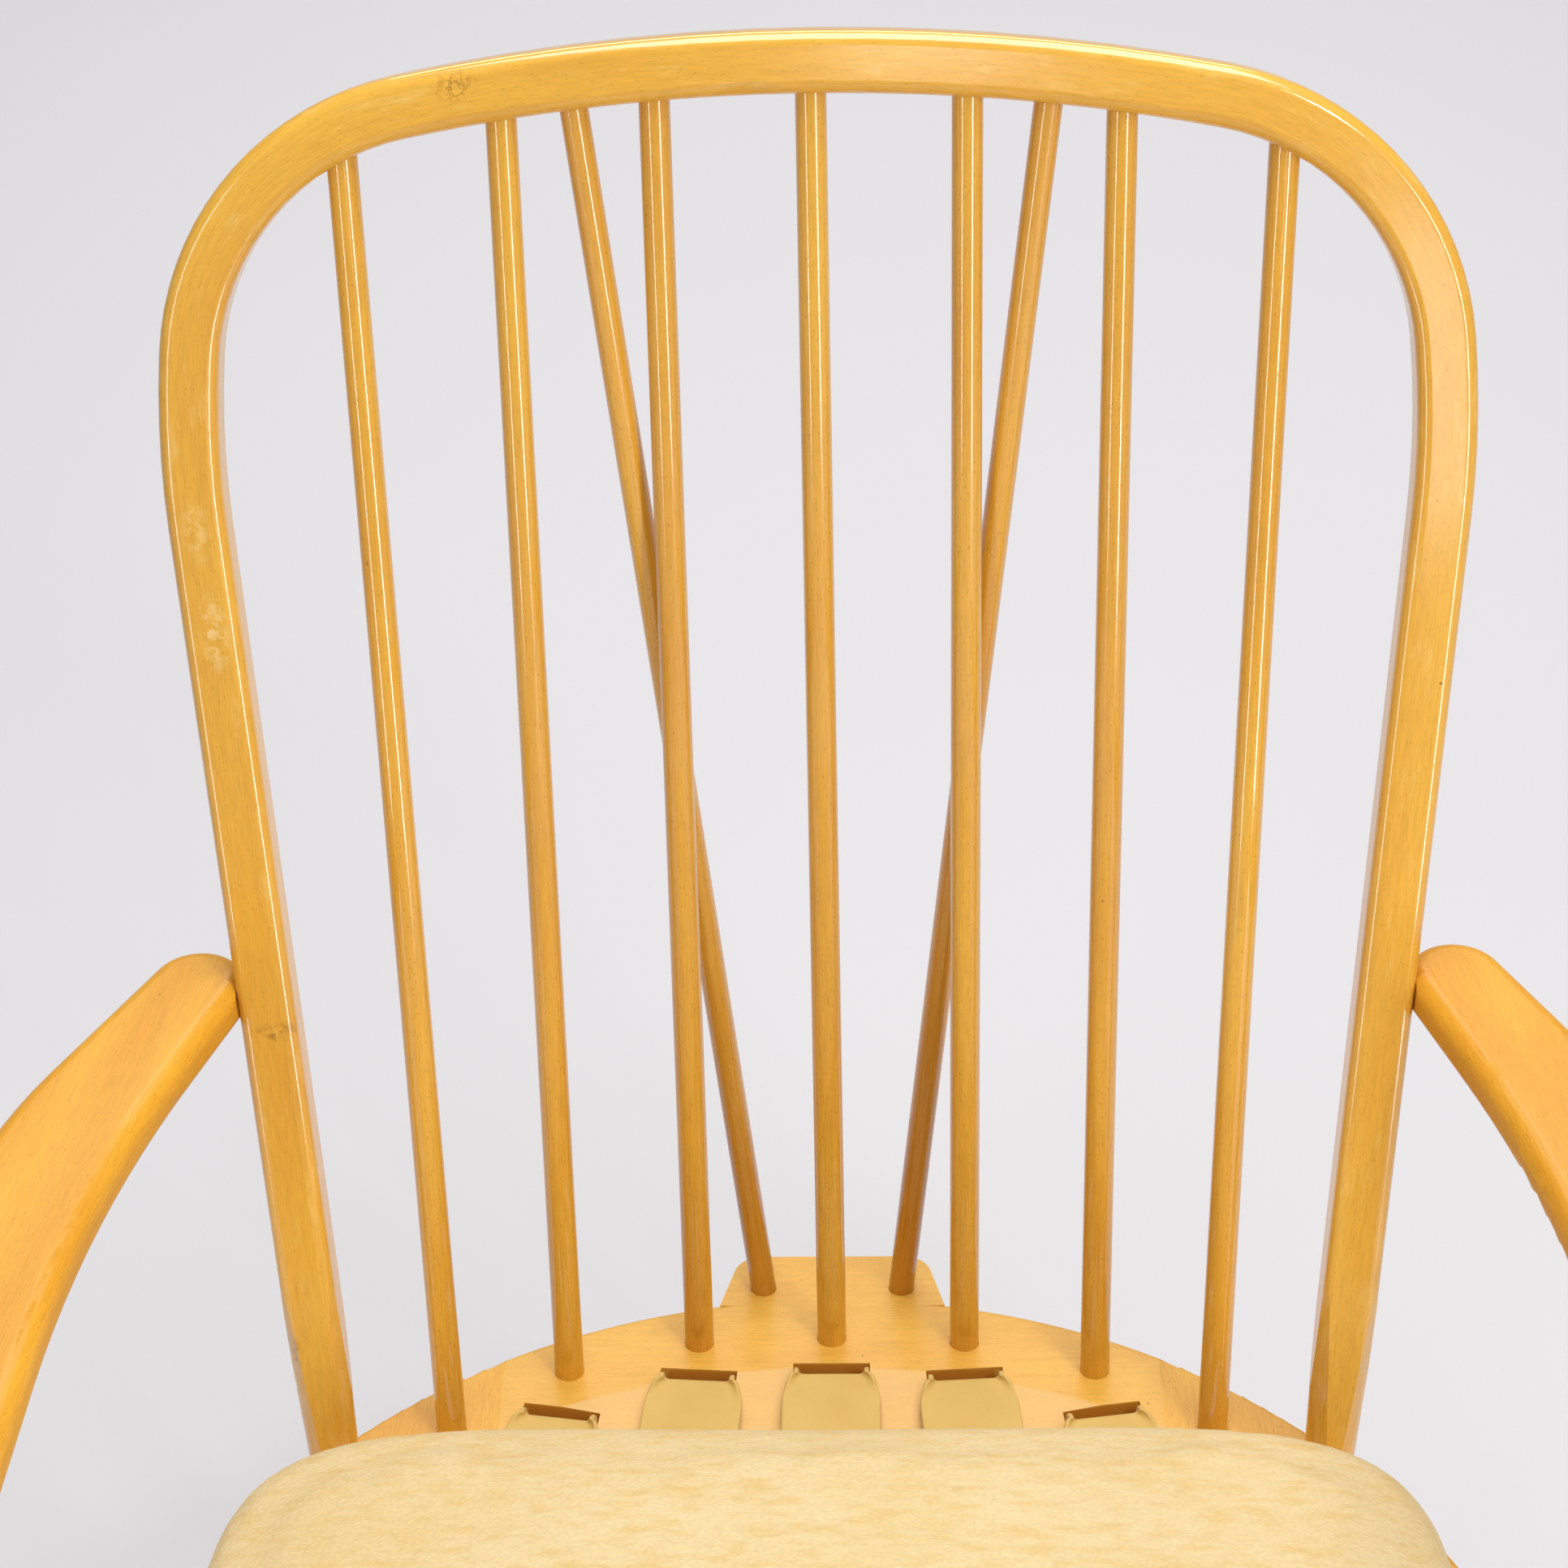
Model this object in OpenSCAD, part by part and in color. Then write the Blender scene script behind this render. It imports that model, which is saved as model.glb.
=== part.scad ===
// High-back hoop armchair: a bent bow over seven sticks and two braces, paddle arms,
// a four-rail seat frame with five elastic straps, turned legs and a loose cushion.
// Millimetres. The chair faces -Y, stands on Z = 0 and is alike on both sides of X = 0.

/* [Seat frame] */
// Top of the frame above the floor at the centre stick
seat_height = 300; // [285:5:315]
// Fall of the seat towards the back, in degrees
seat_slope = 4; // [3:0.5:5]
// Thickness of the four rails
rail_t = 34; // [33:1:38]
// Half of the frame's width
half_width = 320; // [318:1:330]
// Front edge of the frame ahead of the centre stick
front_reach = 625; // [615:5:640]
// Radius of the frame's rear curve
rear_r = 332; // [330:1:336]
// Centre of the rear curve ahead of the centre stick
rear_centre = 300; // [297:1:303]
// Radius between the rear curve and the straight sides
corner_r = 200; // [190:5:210]
// Radius of the front corners
front_corner_r = 50; // [40:5:60]
// Rounding of the frame's outer edges
edge_r = 3; // [2:0.5:4]
// Width of a side rail
side_rail_w = 70; // [66:1:74]
// Depth of the front rail
front_rail_d = 70; // [66:1:74]
// Radius of the opening's rear edge
opening_r = 300; // [296:1:304]
// Rear edge of the opening ahead of the centre stick
opening_rear = 64; // [62:1:66]
// Radius of the opening's rear corners
opening_corner_r = 80; // [70:5:90]
// Glue joint between the rear rail and a side rail, from the middle
joint_x = 170; // [168:1:172]
// Width of the relief slope in front of the slots
relief_w = 41; // [39:1:42]
// Depth of the relief slope at the opening
relief_d = 7; // [5:1:9]

/* [Tail block] */
// Glue line of the tail block behind the centre stick
tail_line = 25.5; // [24:0.5:26]
// Half width of the tail block on its glue line
tail_half = 60; // [57:1:62]
// Half width across its rear corners
tail_rear_half = 50; // [47:1:53]
// Rear edge of the tail block behind the centre stick
tail_rear = 65.7; // [64:0.5:70]
// Radius of its rear corners
tail_corner_r = 15; // [12:1:17]

/* [Bow] */
// Width of the bow's flat face
bow_face = 27; // [26:0.5:29]
// Depth of the bow from front to back
bow_deep = 24; // [23:0.5:26]
// Rounding of the bow's edges
bow_round = 6; // [5:0.5:7]
// Lean of the bow from square to the seat, in degrees
bow_lean = 13.7; // [12.5:0.1:15]
// Rise of the bow's middle line at the crown, along the bow
bow_rise = 697; // [690:1:705]
// Radius of the crown
crown_r = 938; // [920:2:960]
// Half angle of the crown, in degrees
crown_a = 11; // [10:0.5:12]
// Radius of the shoulders
shoulder_r = 123; // [120:1:126]
// Angle from the top where a shoulder ends, in degrees
shoulder_a = 83.5; // [82:0.5:85]
// Radius of the flanks below the shoulders
flank_r = 436; // [430:2:450]
// Lean of each bow leg towards the middle, in degrees
leg_in = 3.9; // [3.5:0.1:4.3]
// Place of the bow's feet ahead of the centre stick
bow_foot = 110.3; // [108:0.1:113]
// Diameter of the shaved foot at the seat
foot_d = 23.2; // [22.6:0.2:24.4]
// Length over which the foot turns from round to the full section
foot_taper = 115; // [100:5:130]
// Diameter of the foot's tenon
foot_tenon_d = 22; // [21:0.5:22.4]
// Depth of the foot's tenon in the seat
foot_tenon = 27; // [24:1:28]

/* [Sticks] */
// Diameter of a stick at the seat
stick_base_d = 15.2; // [14.6:0.2:15.8]
// Diameter of a stick at the bow
stick_top_d = 13.8; // [13.2:0.2:14.4]
// Diameter of a brace at the tail block
brace_base_d = 13.6; // [13:0.2:14.2]
// Diameter of a brace at the bow
brace_top_d = 12.8; // [12.2:0.2:13.4]
// Depth of a stick in the seat
stick_in = 20; // [17:1:22]
// Depth of a stick in the bow
stick_up = 15; // [12:1:17]

/* [Arms] */
// Top of the arms above the seat
arm_top = 267; // [260:1:275]
// Thickness of an arm
arm_t = 22; // [21:1:25]
// Rounding of an arm's edges
arm_round = 9; // [7:0.5:10]
// Radius of the arm's rear tip
arm_tip_r = 23; // [22:0.5:24]
// Centre of the rear tip outside the bow leg's face
arm_tip_out = 21.2; // [20.5:0.1:21.6]
// Flare of the arm's outer edge behind the sweep, in degrees
arm_flare = 23; // [22:0.5:24]
// Length of the straight outer edge behind the sweep
arm_neck = 88; // [85:1:92]
// Radius of the outer edge's sweep
arm_sweep_r = 292; // [285:1:300]
// Width of the paddle
paddle_w = 58.5; // [56:0.5:61]
// Flare of the arm's inner edge at the neck, in degrees
inner_flare = 15.5; // [15:0.5:16]
// Radius of the inner edge's sweep
inner_sweep_r = 760; // [740:5:770]
// Centre of the arm's front end ahead of the centre stick
arm_reach = 515; // [508:1:525]
// Diameter of the dowel between the arm and the bow
arm_dowel_d = 9; // [8:0.5:10]
// Length of that dowel
arm_dowel_l = 34; // [30:1:36]

/* [Arm supports] */
// Place of the posts and spindles on the side rails, from the middle
support_x = 302; // [300:1:304]
// Front post behind the centre of the arm's front end
post_behind = 10; // [7:1:15]
// Spacing of the post and the two spindles behind it
spindle_step = 60; // [56:1:62]
// Diameter of a spindle's ends
spindle_end_d = 12; // [11:0.5:13]
// Diameter of a spindle's middle
spindle_mid_d = 15; // [14:0.5:17]
// Diameter of a post's ends
post_end_d = 16; // [15:0.5:17]
// Diameter of a post's middle
post_mid_d = 25; // [22:0.5:27]
// Depth of a support in the side rail
support_in = 18; // [15:1:20]
// Depth of a support in the arm
support_up = 14; // [12:1:15]

/* [Legs and stretchers] */
// Front legs from the middle, at the seat
front_leg_x = 284; // [281:1:287]
// Front legs ahead of the centre stick, at the seat
front_leg_place = 560; // [557:1:563]
// Rear legs from the middle, at the seat
rear_leg_x = 219; // [217:1:220]
// Rear legs ahead of the centre stick, at the seat
rear_leg_place = 88; // [87:1:90]
// Outward step of a front foot
front_splay = 36; // [30:1:40]
// Forward step of a front foot
front_rake = 32; // [26:1:36]
// Outward step of a rear foot
rear_splay = 44; // [38:1:48]
// Backward step of a rear foot
rear_rake = 92; // [84:1:98]
// Thickest diameter of a leg
leg_d = 38; // [36:0.5:40]
// Height of the thickest place above the foot
leg_belly = 185; // [170:5:200]
// Radius of the leg's swelling, lengthwise
leg_curve_r = 2400; // [2300:50:2600]
// Diameter of a leg's tenon
leg_tenon_d = 25; // [24:0.5:26]
// Depth of a leg's tenon in the rail
leg_tenon = 24; // [20:1:26]
// Height of the side stretchers at the front legs
stretcher_front_h = 128; // [120:1:135]
// Height of the side stretchers at the rear legs
stretcher_rear_h = 112; // [105:1:120]
// Diameter of a stretcher's ends
stretcher_end_d = 16; // [15:0.5:17]
// Diameter of a side stretcher's middle
side_stretcher_d = 26; // [25:0.5:28]
// Diameter of the cross stretcher's middle
cross_stretcher_d = 24; // [22:0.5:26]
// Gap from a stretcher's end to the axis of what it enters
stretcher_stop = 4; // [3:0.5:5]

/* [Straps] */
// Width of the webbing
strap_w = 50.8; // [50:0.2:52]
// Thickness of the webbing
strap_t = 2.5; // [2.3:0.1:2.8]
// Width of the webbing's neck in a rear slot
neck_w = 38; // [37:0.5:38.5]
// Length over which the neck widens
neck_l = 16; // [14:1:20]
// Tilt of the neck's curled corners, in degrees
curl = 62; // [50:1:70]
// Length of a rear slot
slot_l = 40; // [39.5:0.5:42]
// Length of a front slot
front_slot_l = 53; // [52.8:0.2:55]
// Width of a slot
slot_w = 11; // [10.6:0.2:12]
// Inner radius of the strap's bend over the slot's lip
strap_bend = 2; // [1.8:0.1:2.4]
// Middle line of the front slots behind the front edge
front_slot_in = 33; // [31:1:36]
// Diameter of the pins that hold the straps
pin_d = 7.8; // [7.6:0.1:8]
// Length of a pin
pin_l = 62; // [60:1:64]

/* [Cushion] */
// Half width of the cushion
cushion_half = 297; // [290:1:300]
// Rear edge of the cushion ahead of the centre stick
cushion_rear = 135; // [131:1:138]
// Front edge of the cushion ahead of the centre stick
cushion_front = 627; // [615:1:628]
// Thickness of the cushion at its edges
cushion_t = 82; // [78:1:88]
// Rise of the cushion's crown
cushion_crown = 12; // [8:1:16]
// Draw of the fabric at the middle of each side
side_draw = 10; // [7:0.5:12]
// Squareness of the cushion's corners, from 2 for an ellipse upward
corner_square = 5.4; // [5:0.1:6]
// Thickness of the cover
cover_t = 2.6; // [2.2:0.1:3.2]

/* [Hidden] */
$fn = 48;
// Clearance on the diameter of glued pegs and sockets
fit = 0.1;
// Clearance between the cushion and what it lies on
rest_gap = 0.3;
// Clearance between flat faces that touch
face_gap = 0.05;
// Tiny step where two tangent pieces of one solid run into each other
step = 0.02;
socket_end = 0.5;
dowel_d = 10;
dowel_l = 40;
tail_dowel_l = 36;
tail_dowel_x = 19;
front_dowel_a = 14;
front_dowel_b = 52;
rear_dowel_in = 34;
rear_dowel_out = 92;
dowel_fit = 0.1;
strap_lift = 0.05;
foam_gap = 0.3;

// Places of the sticks from the middle outwards: at the seat, and across the bow
base_x = [0, 69.7, 136.7, 193.5];
base_y = [0, -3.8, -25.5, -70];
top_x = [0, 68, 135, 205.5];
brace_x = 37;
brace_y = 40;
brace_top_x = 103;
// Places of the rear slots from the middle outwards, and the turn of each strap
slot_x = [0, 69.4, 139.2];
slot_y = [-25.5, -30, -57.9];
strap_turn = [0, 4, 9];

beech = "#dba94f";
webbing = "#c9a878";
pin_colour = "#3d3a37";
fabric = "#eddcb4";
foam = "#f2ecd8";

// Bow: centres of its arcs in its own plane, with x across and y along the bow
crown_c = [0, bow_rise - crown_r];
shoulder_c = crown_c + (crown_r - shoulder_r) * [sin(crown_a), cos(crown_a)];
flank_c = shoulder_c + (shoulder_r - flank_r) * [sin(shoulder_a), cos(shoulder_a)];
leg_top = flank_c + flank_r * [sin(90 + leg_in), cos(90 + leg_in)];
foot_x = leg_top.x - leg_top.y * tan(leg_in);
leg_l = leg_top.y / cos(leg_in);

// The bow's outer face at the height of the arms, and the arm's plan
dowel_z = arm_top - arm_t / 2;
dowel_y = -bow_foot + dowel_z * tan(bow_lean);
bow_side_x = foot_x + dowel_z / cos(bow_lean) * tan(leg_in) + bow_face / 2 / cos(leg_in);
tip = [bow_side_x + arm_tip_out, dowel_y + 4.8];
neck_end = tip + arm_tip_r * [cos(arm_flare), sin(arm_flare)]
    + arm_neck * [sin(arm_flare), -cos(arm_flare)];
sweep_c = [tidy(neck_end.x - arm_sweep_r * cos(arm_flare)),
    tidy(neck_end.y - arm_sweep_r * sin(arm_flare))];
arm_out_x = sweep_c.x + arm_sweep_r;
arm_in_x = arm_out_x - paddle_w;
inner_c = [arm_in_x - inner_sweep_r,
    tidy(neck_end.y + 5 - inner_sweep_r * sin(inner_flare))];
inner_start = inner_c + inner_sweep_r * [cos(inner_flare), sin(inner_flare)];
support_top_x = (arm_out_x + arm_in_x) / 2;
post_place = arm_reach - post_behind;
spindle_front = post_place - spindle_step;
spindle_rear = spindle_front - spindle_step;

// The pins hang under the slots, where the strap's loop meets the slot's rear edge
loop_r = pin_d / 2 + fit + strap_t;
limb_y = slot_w / 2 - fit * 3 - strap_t;
pin_y = limb_y - (loop_r - strap_t);
pin_z = -rail_t - sqrt(loop_r * loop_r - pow(slot_w / 2 + pin_y, 2)) - fit;
bend_y = slot_w / 2 - fit * 3 + strap_bend;
bend_z = strap_lift - strap_bend;

// The middle of the chair's length stands on Y = 0
rear_most = -bow_foot * cos(seat_slope)
    + (bow_rise + bow_face / 2 - bow_round) * sin(bow_lean + seat_slope)
    + (bow_deep / 2 - bow_round) * cos(bow_lean + seat_slope) + bow_round;
front_most = front_reach * cos(seat_slope) + (rail_t - edge_r) * sin(seat_slope);
stick_y = (front_most - rear_most) / 2;

// Frame changes
// Rounded to a hundredth, where two pieces of one solid have to meet exactly
function tidy(v) = round(v * 100) / 100;

function world(p) = [p.x, stick_y + p.y * cos(seat_slope) + p.z * sin(seat_slope),
    seat_height - p.y * sin(seat_slope) + p.z * cos(seat_slope)];

module in_seat() {
    translate([0, stick_y, seat_height]) rotate([-seat_slope, 0, 0]) children();
}

module from_floor() {
    rotate([seat_slope, 0, 0]) translate([0, -stick_y, -seat_height]) children();
}

module in_bow() {
    translate([0, -bow_foot, 0]) rotate([90 - bow_lean, 0, 0]) children();
}

module side(s) {
    if (s < 0) mirror([1, 0, 0]) children();
    else children();
}

module between(p, q) {
    d = q - p;
    translate(p) rotate([0, acos(d.z / norm(d)), atan2(d.y, d.x)]) children();
}

// A straight or tapered round piece whose ends run on past p and q
module rod(p, q, d1, d2, before = 0, after = 0, grow = 0) {
    l = norm(q - p);
    k = (d2 - d1) / l;
    between(p, q) translate([0, 0, -before])
        cylinder(h = l + before + after, d1 = d1 - k * before + grow,
            d2 = d2 + k * after + grow);
}

// A turned piece on Z: plain ends of end_d, swelling to mid_d between them
swell_n = 16;
module turned_solid(l, end_d, mid_d, bare_p, bare_q) {
    swell = l - bare_p - bare_q;
    rotate_extrude() polygon(concat([[0, 0], [end_d / 2, 0]],
        [for (i = [0:swell_n]) let (k = i / swell_n)
            [end_d / 2 + (mid_d - end_d) * 2 * k * (1 - k), bare_p + swell * k]],
        [[end_d / 2, l], [0, l]]));
}

module turned(p, q, end_d, mid_d, bare_p, bare_q) {
    between(p, q) turned_solid(norm(q - p), end_d, mid_d, bare_p, bare_q);
}

// Bow and sticks
module bow_section(less = 0) {
    r = bow_round - less;
    square([bow_face - 2 * bow_round, bow_deep - 2 * less], center = true);
    square([bow_face - 2 * less, bow_deep - 2 * bow_round], center = true);
    for (a = [-1, 1], b = [-1, 1])
        translate([a * (bow_face / 2 - bow_round), b * (bow_deep / 2 - bow_round)])
            circle(r, $fn = 32);
}

module bow_arc(c, r, a1, a2, less, n) {
    translate(c) rotate([0, 0, 90 - a2])
        rotate_extrude(angle = a2 - a1, $fn = n) translate([r, 0]) bow_section(less);
}

module bow_leg_axis() {
    translate([foot_x, 0, 0]) rotate([0, 0, -leg_in]) rotate([-90, 0, 0]) children();
}

// One leg, shaved from the full section to round at the foot
module bow_leg() {
    below = 8;
    over = 1;
    grow = (norm([bow_face, bow_deep]) / 2 - bow_round * 0.4 - foot_d / 2) / foot_taper;
    bow_leg_axis() intersection() {
        translate([0, 0, -below]) linear_extrude(leg_l + below + over) bow_section(step);
        translate([0, 0, -below]) cylinder(h = leg_l + below + 2,
            r1 = foot_d / 2 - grow * below, r2 = foot_d / 2 + grow * (leg_l + 2));
    }
}

module bow_body() {
    over = 0.4;
    difference() {
        in_bow() union() {
            bow_arc(crown_c, crown_r, -crown_a, crown_a, 0, 360);
            for (s = [-1, 1]) side(s) {
                bow_arc(shoulder_c, shoulder_r, crown_a - over, shoulder_a + over, step, 120);
                bow_arc(flank_c, flank_r, shoulder_a, 90 + leg_in, 0, 240);
                bow_leg();
            }
        }
        translate([-500, -500, -100]) cube([1000, 1000, 100 + face_gap]);
    }
    in_bow() for (s = [-1, 1]) side(s) bow_leg_axis()
        translate([0, 0, -foot_tenon]) cylinder(h = foot_tenon + 10, d = foot_tenon_d);
}

// Height along the bow of its inner side at x
function bow_inside(x) =
    abs(x) <= (crown_r - bow_face / 2) * sin(crown_a)
    ? crown_c.y + sqrt(pow(crown_r - bow_face / 2, 2) - x * x)
    : shoulder_c.y + sqrt(pow(shoulder_r - bow_face / 2, 2) - pow(abs(x) - shoulder_c.x, 2));

function on_bow(x) = [x, -bow_foot + bow_inside(x) * sin(bow_lean),
    bow_inside(x) * cos(bow_lean)];

// Sticks count from 1 at the left to 7 at the right
function stick_foot(i) = let (k = abs(i - 4), s = i < 4 ? -1 : 1) [s * base_x[k], base_y[k], 0];
function stick_head(i) = let (k = abs(i - 4), s = i < 4 ? -1 : 1) on_bow(s * top_x[k]);

module stick_solid(i, grow = 0, more = 0) {
    rod(stick_foot(i), stick_head(i), stick_base_d, stick_top_d,
        stick_in + more, stick_up + more, grow);
}

module brace_solid(s, grow = 0, more = 0) {
    rod([s * brace_x, brace_y, 0], on_bow(s * brace_top_x), brace_base_d, brace_top_d,
        stick_in + more, stick_up + more, grow);
}

module stick(i) {
    color(beech) in_seat() stick_solid(i);
}

module brace(s) {
    color(beech) in_seat() brace_solid(s);
}

module bow() {
    color(beech) in_seat() difference() {
        bow_body();
        for (i = [1:7]) stick_solid(i, fit, socket_end);
        for (s = [-1, 1]) {
            brace_solid(s, fit, socket_end);
            side(s) arm_peg(fit, socket_end);
        }
    }
}

// Seat frame
// The board that the rails are cut from has a rear arc, two corner arcs, straight sides and
// rounded front corners, all with the same rounded edge
corner_c = [half_width - corner_r,
    tidy(sqrt(pow(rear_r - corner_r, 2) - pow(half_width - corner_r, 2)) - rear_centre)];
corner_a = atan2(corner_c.y + rear_centre, corner_c.x);
front_c = [half_width - front_corner_r, front_corner_r - front_reach];

// Slice across the board from its rounded edge at x = w back to x = 0
module board_edge(w, less = 0) {
    translate([0, less - rail_t]) square([w - edge_r, rail_t - 2 * less]);
    translate([w - edge_r - 1, edge_r - rail_t])
        square([edge_r + 1 - less, rail_t - 2 * edge_r]);
    for (y = [-edge_r, edge_r - rail_t]) translate([w - edge_r, y])
        circle(edge_r - less, $fn = 32);
}

module board_sector(c, r, start, turn, less, n) {
    translate(c) rotate([0, 0, start]) rotate_extrude(angle = turn, $fn = n)
        board_edge(r, less);
}

module board_rear() {
    a = corner_a - 0.3;
    board_sector([0, -rear_centre], rear_r, a, 180 - 2 * a, step, 240);
}

module board_front() {
    translate([-front_c.x, front_c.y, 0]) rotate([90, 0, 90])
        linear_extrude(2 * front_c.x) mirror([1, 0]) board_edge(front_corner_r);
}

// Right-hand board; the left one is the same board turned over
module board_side() {
    a = corner_a - 0.3;
    board_sector([0, -rear_centre], rear_r, a, 80 - a, step, 240);
    board_sector(corner_c, corner_r, 0, corner_a, 0, 120);
    translate([corner_c.x - 10, corner_c.y, 0]) rotate([90, 0, 0])
        linear_extrude(corner_c.y - front_c.y) board_edge(corner_r + 10);
    board_sector(front_c, front_corner_r, -90, 90, 0, 64);
    board_front();
}

// Plan of the opening between the rails
open_y = -opening_rear - opening_r;
open_x = half_width - side_rail_w;
open_c = [open_x - opening_corner_r, open_y + sqrt(pow(opening_r - opening_corner_r, 2)
    - pow(open_x - opening_corner_r, 2))];

module opening_plan() {
    x = open_c.x * opening_r / (opening_r - opening_corner_r);
    translate([-open_x, front_rail_d - front_reach])
        square([2 * open_x, open_c.y + front_reach - front_rail_d]);
    intersection() {
        translate([0, open_y]) circle(opening_r, $fn = 240);
        translate([-x, open_c.y - 20]) square([2 * x, opening_r]);
    }
    for (s = [-1, 1]) translate([s * open_c.x, open_c.y])
        circle(opening_corner_r - step, $fn = 120);
}

module opening() {
    lip = front_rail_d - front_reach;
    start = front_slot_in - slot_w / 2 + 1 - front_reach;
    translate([0, 0, -rail_t - 1]) linear_extrude(rail_t + 2) opening_plan();
    // relief slopes that keep the webbing off the edges
    translate([0, open_y, 0]) rotate([0, 0, 46])
        rotate_extrude(angle = 88, $fn = 240)
            polygon([[opening_r - 2, -relief_d], [opening_r, -relief_d],
                [opening_r + relief_w, 0], [opening_r + relief_w, 2], [opening_r - 2, 2]]);
    translate([-open_x + step, 0, 0]) rotate([90, 0, 90]) linear_extrude(2 * (open_x - step))
        polygon([[lip + 2, -relief_d], [lip + 2, 2], [start, 2], [start, 0],
            [lip, -relief_d]]);
}

// Straps: a local frame stands on the rear slot, with Y along the strap
function strap_side(i) = i < 3 ? -1 : 1;
function strap_length(i) = let (k = abs(i - 3))
    (front_reach - front_slot_in + slot_y[k]) / cos(strap_turn[k]);

module on_slot(i) {
    k = abs(i - 3);
    translate([strap_side(i) * slot_x[k], slot_y[k], 0])
        rotate([0, 0, 180 + strap_side(i) * strap_turn[k]]) children();
}

module at_front_slot(i) {
    on_slot(i) translate([0, strap_length(i), 0]) rotate([0, 0, 180]) children();
}

module slot_cut(l) {
    translate([-l / 2, -slot_w / 2, -rail_t - 1]) cube([l, slot_w, rail_t + 2]);
    lip = strap_bend * 1.8;
    translate([0, slot_w / 2, strap_lift - 0.5]) rotate([45, 0, 0])
        cube([l + 4, lip, lip], center = true);
}

module across(w) {
    rotate([90, 0, 90]) translate([0, 0, -w / 2]) linear_extrude(w) children();
}

// End of a strap: the bend over the lip, the limb through the rail and the pin loop
module strap_end(w) {
    across(w) {
        intersection() {
            translate([bend_y, bend_z]) difference() {
                circle(strap_bend + strap_t);
                circle(strap_bend);
            }
            translate([limb_y - 1, bend_z]) square([bend_y - limb_y + 1, 10]);
        }
        translate([limb_y, pin_z]) square([strap_t, bend_z - pin_z]);
        translate([pin_y, pin_z]) difference() {
            circle(loop_r);
            circle(loop_r - strap_t);
        }
    }
}

// Corner of the webbing that curls up beside the neck
module curled_corner() {
    a = [neck_w / 2, bend_y];
    b = [strap_w / 2, bend_y + neck_l];
    turn = atan2(b.y - a.y, b.x - a.x);
    l = norm(b - a);
    depth = (b.x - a.x) * sin(turn);
    foot = l * pow(cos(turn), 2);
    translate([a.x, a.y, strap_lift + 0.4]) rotate([0, 0, turn]) {
        rotate([-curl, 0, 0]) linear_extrude(strap_t)
            polygon([[0.6, 0.3], [l - 0.6, 0.3], [foot + 0.4, 0.5 - depth], [foot - 0.4, 0.5 - depth]]);
    }
}

module strap(i) {
    l = strap_length(i);
    color(webbing) in_seat() on_slot(i) {
        strap_end(neck_w);
        translate([0, l, 0]) rotate([0, 0, 180]) strap_end(strap_w);
        translate([0, 0, strap_lift]) linear_extrude(strap_t)
            polygon([[-neck_w / 2, bend_y], [neck_w / 2, bend_y],
                [strap_w / 2, bend_y + neck_l], [strap_w / 2, l - bend_y],
                [-strap_w / 2, l - bend_y], [-strap_w / 2, bend_y + neck_l]]);
        for (s = [-1, 1]) side(s) curled_corner();
    }
}

module strap_pins() {
    color(pin_colour) in_seat() for (i = [1:5]) {
        on_slot(i) translate([0, pin_y, pin_z]) rotate([0, 90, 0])
            cylinder(h = pin_l, d = pin_d, center = true);
        at_front_slot(i) translate([0, pin_y, pin_z]) rotate([0, 90, 0])
            cylinder(h = pin_l, d = pin_d, center = true);
    }
}

// Dowels of the frame: across the side joints, and along into the tail block
module dowel_x(x, y, z, grow, more) {
    translate([x, y, z]) rotate([0, 90, 0])
        cylinder(h = dowel_l + 2 * more, d = dowel_d + grow, center = true);
}

module frame_dowel_set(grow = 0, more = 0) {
    for (s = [-1, 1]) {
        for (y = [-rear_dowel_in, -rear_dowel_out])
            dowel_x(s * joint_x, y, -rail_t / 2, grow, more);
        for (y = [front_dowel_a, front_dowel_b])
            dowel_x(s * open_x, y - front_reach, -rail_t / 2, grow, more);
        translate([s * tail_dowel_x, tail_line, -rail_t / 2]) rotate([90, 0, 0])
            cylinder(h = tail_dowel_l + 2 * more, d = dowel_d + grow, center = true);
    }
}

module frame_dowels() {
    color(beech) in_seat() frame_dowel_set();
}

module rear_rail() {
    color(beech) in_seat() difference() {
        intersection() {
            board_rear();
            translate([-joint_x, -rear_centre, -100])
                cube([2 * joint_x, rear_centre + tail_line, 200]);
        }
        opening();
        for (i = [2:6]) stick_solid(i, fit, socket_end);
        for (i = [1:5]) on_slot(i) slot_cut(slot_l);
        frame_dowel_set(dowel_fit, socket_end);
    }
}

module tail_outline() {
    p = [tail_rear_half, tail_rear];
    q = [tail_half, tail_line];
    u = (q - p) / norm(q - p);
    v = [-1, 0];
    half = acos(u * v) / 2;
    t = tail_corner_r / tan(half);
    m = (u + v) / norm(u + v);
    a = p + u * t;
    b = p + v * t;
    c = p + m * (tail_corner_r / sin(half));
    polygon([q, a, c, b, [-b.x, b.y], [-c.x, c.y], [-a.x, a.y], [-q.x, q.y]]);
    for (s = [-1, 1]) translate([s * c.x, c.y]) circle(tail_corner_r - step);
}

module tail_block() {
    color(beech) in_seat() difference() {
        translate([0, 0, -rail_t]) linear_extrude(rail_t) tail_outline();
        for (s = [-1, 1]) brace_solid(s, fit, socket_end);
        frame_dowel_set(dowel_fit, socket_end);
    }
}

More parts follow.
